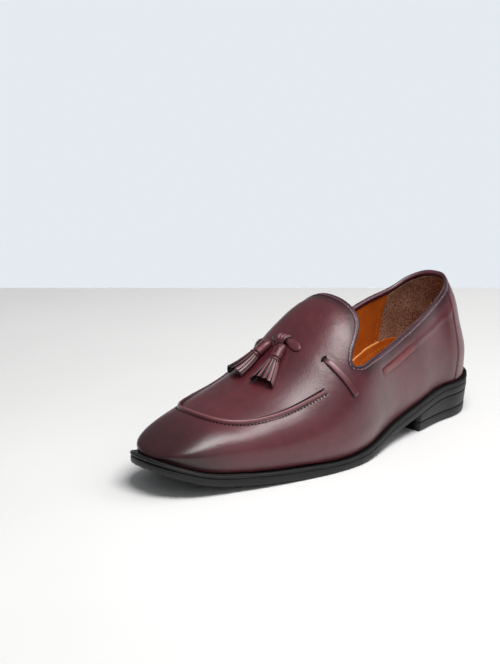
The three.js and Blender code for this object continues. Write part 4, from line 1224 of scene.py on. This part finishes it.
def make_sole():
    """The outsole with its bead, groove and plain side, and stitches on the bead."""
    k = toe_stations()
    lip = lambda kk: 3.0 * smooth((22 - kk) / 22)
    # Rows: inset, drop, rise of the lip, and painted shade for the groove, the top under the upper and the bottom edge
    rows = [(0.9, 0.0, 0, 1), (0.55, 0.0, 0, 1), (0.36, 0.0, 0.9, 0.9), (0.16, 0.02, 1, 0.6), (0.03, 0.08, 1, 0.55),
            (0.0, 0.16, 0.8, 0.6), (0.03, 0.24, 0.5, 0.8), (0.14, 0.29, 0.2, 1), (0.26, 0.32, 0, 1), (0.26, 0.35, 0, 1),
            (0.11, 0.39, 0, 0.5), (0.07, 0.45, 0, 0), (0.07, 0.7, 0, 0), (0.09, 0.86, 0, 0), (0.16, 0.94, 0, 0.2),
            (0.32, 1.0, 0, 0.4)]
    rings = []
    for inset, drop, up, _ in rows:
        height = (lambda kk, d=drop, u=up: mix(sole_top(kk), sole_bottom(kk), d) + u * lip(kk))
        rings.append(((inset - 1) * SOLE_RIM, height))
    dark = [row[3] for row in rows]
    slab("rubber_outsole", k, rings, RUBBER, ["outsole"], "black_rubber", dark=dark)
    centres, ways = [], []
    for side in (1.0, -1.0):
        stations = LENGTH * np.sin(np.linspace(0.62, 0.995, 78) * math.pi / 2)
        p = form(stations, 0, side, -1.75)
        p[:, 2] = sole_top(LENGTH / 2 - p[:, 1]) + 0.1
        centres.append(p)
        ways.append(np.gradient(p, axis=0))
    centres, ways = np.concatenate(centres), np.concatenate(ways)
    outs = np.tile([0, 0, 1.0], (len(centres), 1))
    add_mesh("welt_stitches", *beads(centres, ways, outs, 1.3, 0.6, 0.4), GREY_THREAD)


def side_rings(rows, top, base):
    return [((inset - 1) * SOLE_RIM, (lambda kk, d=drop: mix(top(kk), base(kk), d))) for inset, drop in rows]


def make_heel():
    k = heel_stations(34, HEEL_LENGTH)
    top = lambda kk: sole_bottom(kk) - GAP
    rows = [(0.62, 0.0), (0.4, 0.01), (0.25, 0.04), (0.22, 0.1), (0.32, 0.5), (0.44, 0.9), (0.5, 0.96), (0.62, 1.0)]
    # The list is painted shade per ring: dark at the joins above and below the block
    slab("rubber_heel_block", k, side_rings(rows, top, lambda kk: LIFT_HEIGHT + GAP + 0 * kk), RUBBER,
         ["heel_block"], "black_rubber", 8, [1, 1, 0.6, 0.1, 0, 0, 0.4, 1])
    rows = [(0.66, 0.0), (0.52, 0.03), (0.46, 0.09), (0.5, 0.5), (0.56, 0.8), (0.66, 0.93), (0.86, 1.0)]
    # The list is painted shade per ring: dark at the join with the block
    slab("rubber_heel_lift", k, side_rings(rows, lambda kk: LIFT_HEIGHT + 0 * kk, lambda kk: 0 * kk), RUBBER,
         ["heel_lift"], "black_rubber", 8, [1, 0.5, 0.1, 0, 0, 0.1, 0.3])


def make_insole():
    k = toe_stations()
    rings = []
    for inset, height in ((WALL + GAP + 4.5, 1.0), (WALL + GAP + 2.4, 1.0), (WALL + GAP + 1.2, 0.94), (WALL + GAP + 0.5, 0.75),
                          (WALL + GAP + 0.2, 0.4), (WALL + GAP + 0.2, 0.1)):
        rings.append((inset, (lambda kk, h=height: edge_height(kk) + INSOLE_THICK * h)))
    slab("insole_leather", k, rings, TAN, ["insole"], "tan_leather")
    centres, ways = [], []
    for side in (1.0, -1.0):
        stations = np.arange(6, 200, 3.1)
        p = form(stations, 0, side, WALL + GAP + 4.2)
        p[:, 2] = edge_height(LENGTH / 2 - p[:, 1]) + INSOLE_THICK + 0.05
        centres.append(p)
        w = np.gradient(p, axis=0)
        ways.append(w + np.cross(w, [0, 0, 1.0]) * 0.35 * side)
    centres, ways = np.concatenate(centres), np.concatenate(ways)
    outs = np.tile([0, 0, 1.0], (len(centres), 1))
    add_mesh("insole_stitches", *beads(centres, ways, outs, 2.0, 0.55, 0.4), YELLOW_THREAD)


def closed_sheet(k, up, side, outer, inner):
    """Points and faces of a sheet over a grid of places, from its two faces."""
    count, rows = k.shape
    size = count * rows
    faces = grid_faces(count, rows)
    faces += [tuple(v + size for v in f) for f in faces]
    ring = list(range(rows))
    ring += [i * rows + rows - 1 for i in range(1, count)]
    ring += [(count - 1) * rows + j for j in range(rows - 2, -1, -1)]
    ring += [i * rows for i in range(count - 2, 0, -1)]
    faces += [(a, b, b + size, a + size) for a, b in zip(ring, ring[1:] + ring[:1])]
    return np.concatenate([form(k, up, side, outer).reshape(-1, 3), form(k, up, side, inner).reshape(-1, 3)]), faces


def round_heel(make):
    """Grids of k, up and side from the inner side's front round to the outer side's."""
    left, right = make(1.0), make(-1.0)
    grids = [np.concatenate([b[:0:-1], a]) for a, b in zip(left, right)]
    side = np.concatenate([np.full(right[0][:0:-1].shape, -1.0), np.ones(left[0].shape)])
    return grids[0], grids[1], side


SOCK_EDGE = ([0, 30, 40, 51, 64, 76, 90, 105, 120, 136], [0.22, 0.228, 0.238, 0.228, 0.224, 0.2, 0.15, 0.11, 0.075, 0.05])


def make_heel_lining():
    """Suede inside the heel with a stitched front edge, and the sock below it."""
    rows, columns = 44, 96
    share = np.linspace(0, 1, rows + 1)

    def suede_grid(side):
        along = np.linspace(0, 1, columns + 1)
        front = np.interp(share, [0, 0.12, 0.3, 1.0], [50.2, 49.0, 47.8, 46.6])
        k = along[:, None] * front[None]
        top = collar_up(k) - 0.03
        return k, mix(0.19, top, share[None])

    k, up, side = round_heel(suede_grid)
    count = k.shape[0]
    from_edge = np.minimum(np.arange(count), np.arange(count)[::-1])[:, None] * (47 / columns)
    swell = 0.5 * np.sqrt(smooth(np.minimum(from_edge, 1.2) / 1.2 * 0.998 + 0.002))
    ripple = 0.05 * np.sin(k * 0.7) * np.sin(up * 40)
    points, faces = closed_sheet(k, up, side, WALL + 0.12 + swell + ripple, WALL + 0.05)
    add_mesh("heel_lining_suede", points, faces, SUEDE, (), "tan_leather")

    low = np.linspace(0, 1, 25)

    def sock_grid(side):
        k = np.linspace(0, 134, 180)[:, None] + 0 * low[None]
        return k, mix(0.012, np.interp(k, *SOCK_EDGE), low[None])

    k, up, side = round_heel(sock_grid)
    rise = 0.75 * np.sqrt(smooth((1 - low) / 0.06 * 0.998 + 0.002))[None] + 0 * k
    points, faces = closed_sheet(k, up, side, WALL + 0.14 + rise, WALL + 0.08)
    # Painted highlight along the sock's raised top edge
    edge = np.broadcast_to(smooth((low - 0.965) / 0.03)[None], k.shape).ravel()
    add_mesh("sock_leather", points, faces, TAN, (), "tan_leather", {"painted_highlight": np.concatenate([edge, edge]) * 0.9})

    centres, ways, outs = [], [], []
    for s in (1.0, -1.0):
        up = np.arange(0.235, 0.56, 0.0225)
        k = np.interp(up, [0.23, 0.32, 0.42, 0.56], [52.4, 51.6, 51.2, 50.4])
        p = form(k, up, s, WALL + 0.12)
        centres.append(p)
        ways.append(np.gradient(p, axis=0))
        outs.append(-slopes(k, up, s)[2])
        k = np.arange(38.0, 118.0, 3.6)
        up = np.interp(k, SOCK_EDGE[0], SOCK_EDGE[1]) - np.interp(k, [38, 50, 76, 120], [0.064, 0.06, 0.08, 0.045])
        p = form(k, up, s, WALL + 0.95)
        tilted = form(k - 1.2, up + 0.028, s, WALL + 0.95)
        centres.append(p)
        ways.append(tilted - p)
        outs.append(-slopes(k, up, s)[2])
    stitches = beads(np.concatenate(centres), np.concatenate(ways), np.concatenate(outs), 1.9, 0.6, 0.5)
    add_mesh("lining_stitches", *stitches, YELLOW_THREAD)


make_upper()
make_binding()
make_lining()
make_heel_lining()
make_counter()
make_apron_seam()
slits = []
for word, side in (("left", 1), ("right", -1)):
    slits += make_vamp_strip("vamp_strip_" + word + "_lace", side)
    slits += make_quarter_strip("quarter_strip_" + word + "_lace", side)
# The slits' lenses take the dark thread material as painted shade inside the cuts
add_mesh("lace_slits", *joined(slits), DARK_THREAD_AND_HOLE_SHADE)
make_knot()
wraps = [make_tassel(name, row, seed) for seed, (name, row) in enumerate(TASSELS.items(), 3)]
add_mesh("tassel_wrap_marks", *joined(wraps), DARK_THREAD_AND_HOLE_SHADE)
make_insole()
make_sole()
make_heel()

# Camera: the photograph's angle and distance
AZIMUTH, ELEVATION, DISTANCE = math.radians(47.773), math.radians(15.865), 1.261437
target = Vector(((-44.066 + SHIFT[0]) / 1000, (-19.465 + SHIFT[1]) / 1000, 74.212 / 1000))
away = Vector((math.sin(AZIMUTH) * math.cos(ELEVATION), -math.cos(AZIMUTH) * math.cos(ELEVATION), math.sin(ELEVATION)))
lens = bpy.data.cameras.new("camera")
lens.lens, lens.sensor_width, lens.sensor_fit = 1817.057 * 36 / 664, 36.0, "AUTO"
lens.clip_start, lens.clip_end = 0.05, 50
camera = bpy.data.objects.new("camera", lens)
bpy.context.scene.collection.objects.link(camera)
camera.location = target + away * DISTANCE
camera.rotation_mode = "QUATERNION"
camera.rotation_quaternion = (-away).to_track_quat("-Z", "Y")
bpy.context.scene.camera = camera

# Pale floor that ends behind the shoe, with a pale background beyond it
ahead = Vector((-math.sin(AZIMUTH), math.cos(AZIMUTH), 0))
beside = Vector((math.cos(AZIMUTH), math.sin(AZIMUTH), 0))
FLOOR_END = 0.41


def make_stage():
    look = Look("pale_floor")
    cloud = look.between(look.noise(3, 3), 0.3, 0.7)
    look.set(Base_Color=look.blend(cloud, rgb(243, 243, 242), rgb(248, 248, 247)), Roughness=0.6)
    look.set(Normal=look.bump(look.noise(400, 3), 0.0001, 0.15), Specular_IOR_Level=0.25)
    centre = Vector((target.x, target.y, 0))
    verts = [tuple(centre + ahead * a + beside * b) for a, b in ((-5, -4), (-5, 4), (FLOOR_END, 4), (FLOOR_END, -4))]
    mesh = bpy.data.meshes.new("stage")
    mesh.from_pydata(verts, [], [(0, 1, 2, 3)])
    mesh.materials.append(look.material)
    stage = bpy.data.objects.new("stage", mesh)
    bpy.context.scene.collection.objects.link(stage)


def make_light(name, where, size, power, colour, aim):
    """An area light whose first side runs beside the camera's view."""
    light = bpy.data.lights.new(name, "AREA")
    light.shape, light.size, light.size_y = "RECTANGLE", size[0], size[1]
    light.energy, light.color = power, colour
    lamp = bpy.data.objects.new(name, light)
    bpy.context.scene.collection.objects.link(lamp)
    lamp.location = where
    down = (aim - where).normalized()
    along = (beside - down * beside.dot(down)).normalized()
    lamp.rotation_mode = "QUATERNION"
    lamp.rotation_quaternion = Matrix((along, (-down).cross(along), -down)).transposed().to_quaternion()


make_stage()
middle = Vector((0, 0, 0.05))
up_way = Vector((0, 0, 1))
make_light("over", middle + beside * 0.22 - ahead * 0.33 + up_way * 1.02, (0.74, 0.46), 11.6, (1.0, 0.99, 0.985), middle)
make_light("back", middle + beside * 0.95 + ahead * 0.25 + up_way * 0.95, (0.7, 0.6), 3.8, (1.0, 1.0, 1.0), middle)
make_light("front", middle - ahead * 1.3 + beside * 0.9 + up_way * 0.75, (0.9, 0.8), 1.6, (0.97, 0.98, 1.0), middle)

world = bpy.data.worlds.new("studio")
bpy.context.scene.world = world
world.use_nodes = True
nodes, links = world.node_tree.nodes, world.node_tree.links
where = nodes.new("ShaderNodeTexCoord")
split = nodes.new("ShaderNodeSeparateXYZ")
links.new(where.outputs["Generated"], split.inputs[0])
ramp = nodes.new("ShaderNodeValToRGB")
sky = ramp.color_ramp
sky.elements[0].position, sky.elements[0].color = 0.0, (0.78, 0.83, 0.875, 1)
for place, shade in ((0.47, (0.78, 0.83, 0.875, 1)), (0.53, (0.15, 0.155, 0.16, 1))):
    sky.elements.new(place).color = shade
sky.elements[3].position, sky.elements[3].color = 0.8, (0.22, 0.225, 0.23, 1)
half_up = nodes.new("ShaderNodeMath")
half_up.operation = "MULTIPLY_ADD"
half_up.inputs[1].default_value, half_up.inputs[2].default_value = 0.5, 0.5
links.new(split.outputs["Z"], half_up.inputs[0])
links.new(half_up.outputs[0], ramp.inputs[0])
links.new(ramp.outputs[0], nodes["Background"].inputs["Color"])
nodes["Background"].inputs["Strength"].default_value = 1.0
bpy.context.scene.view_settings.view_transform = "Standard"
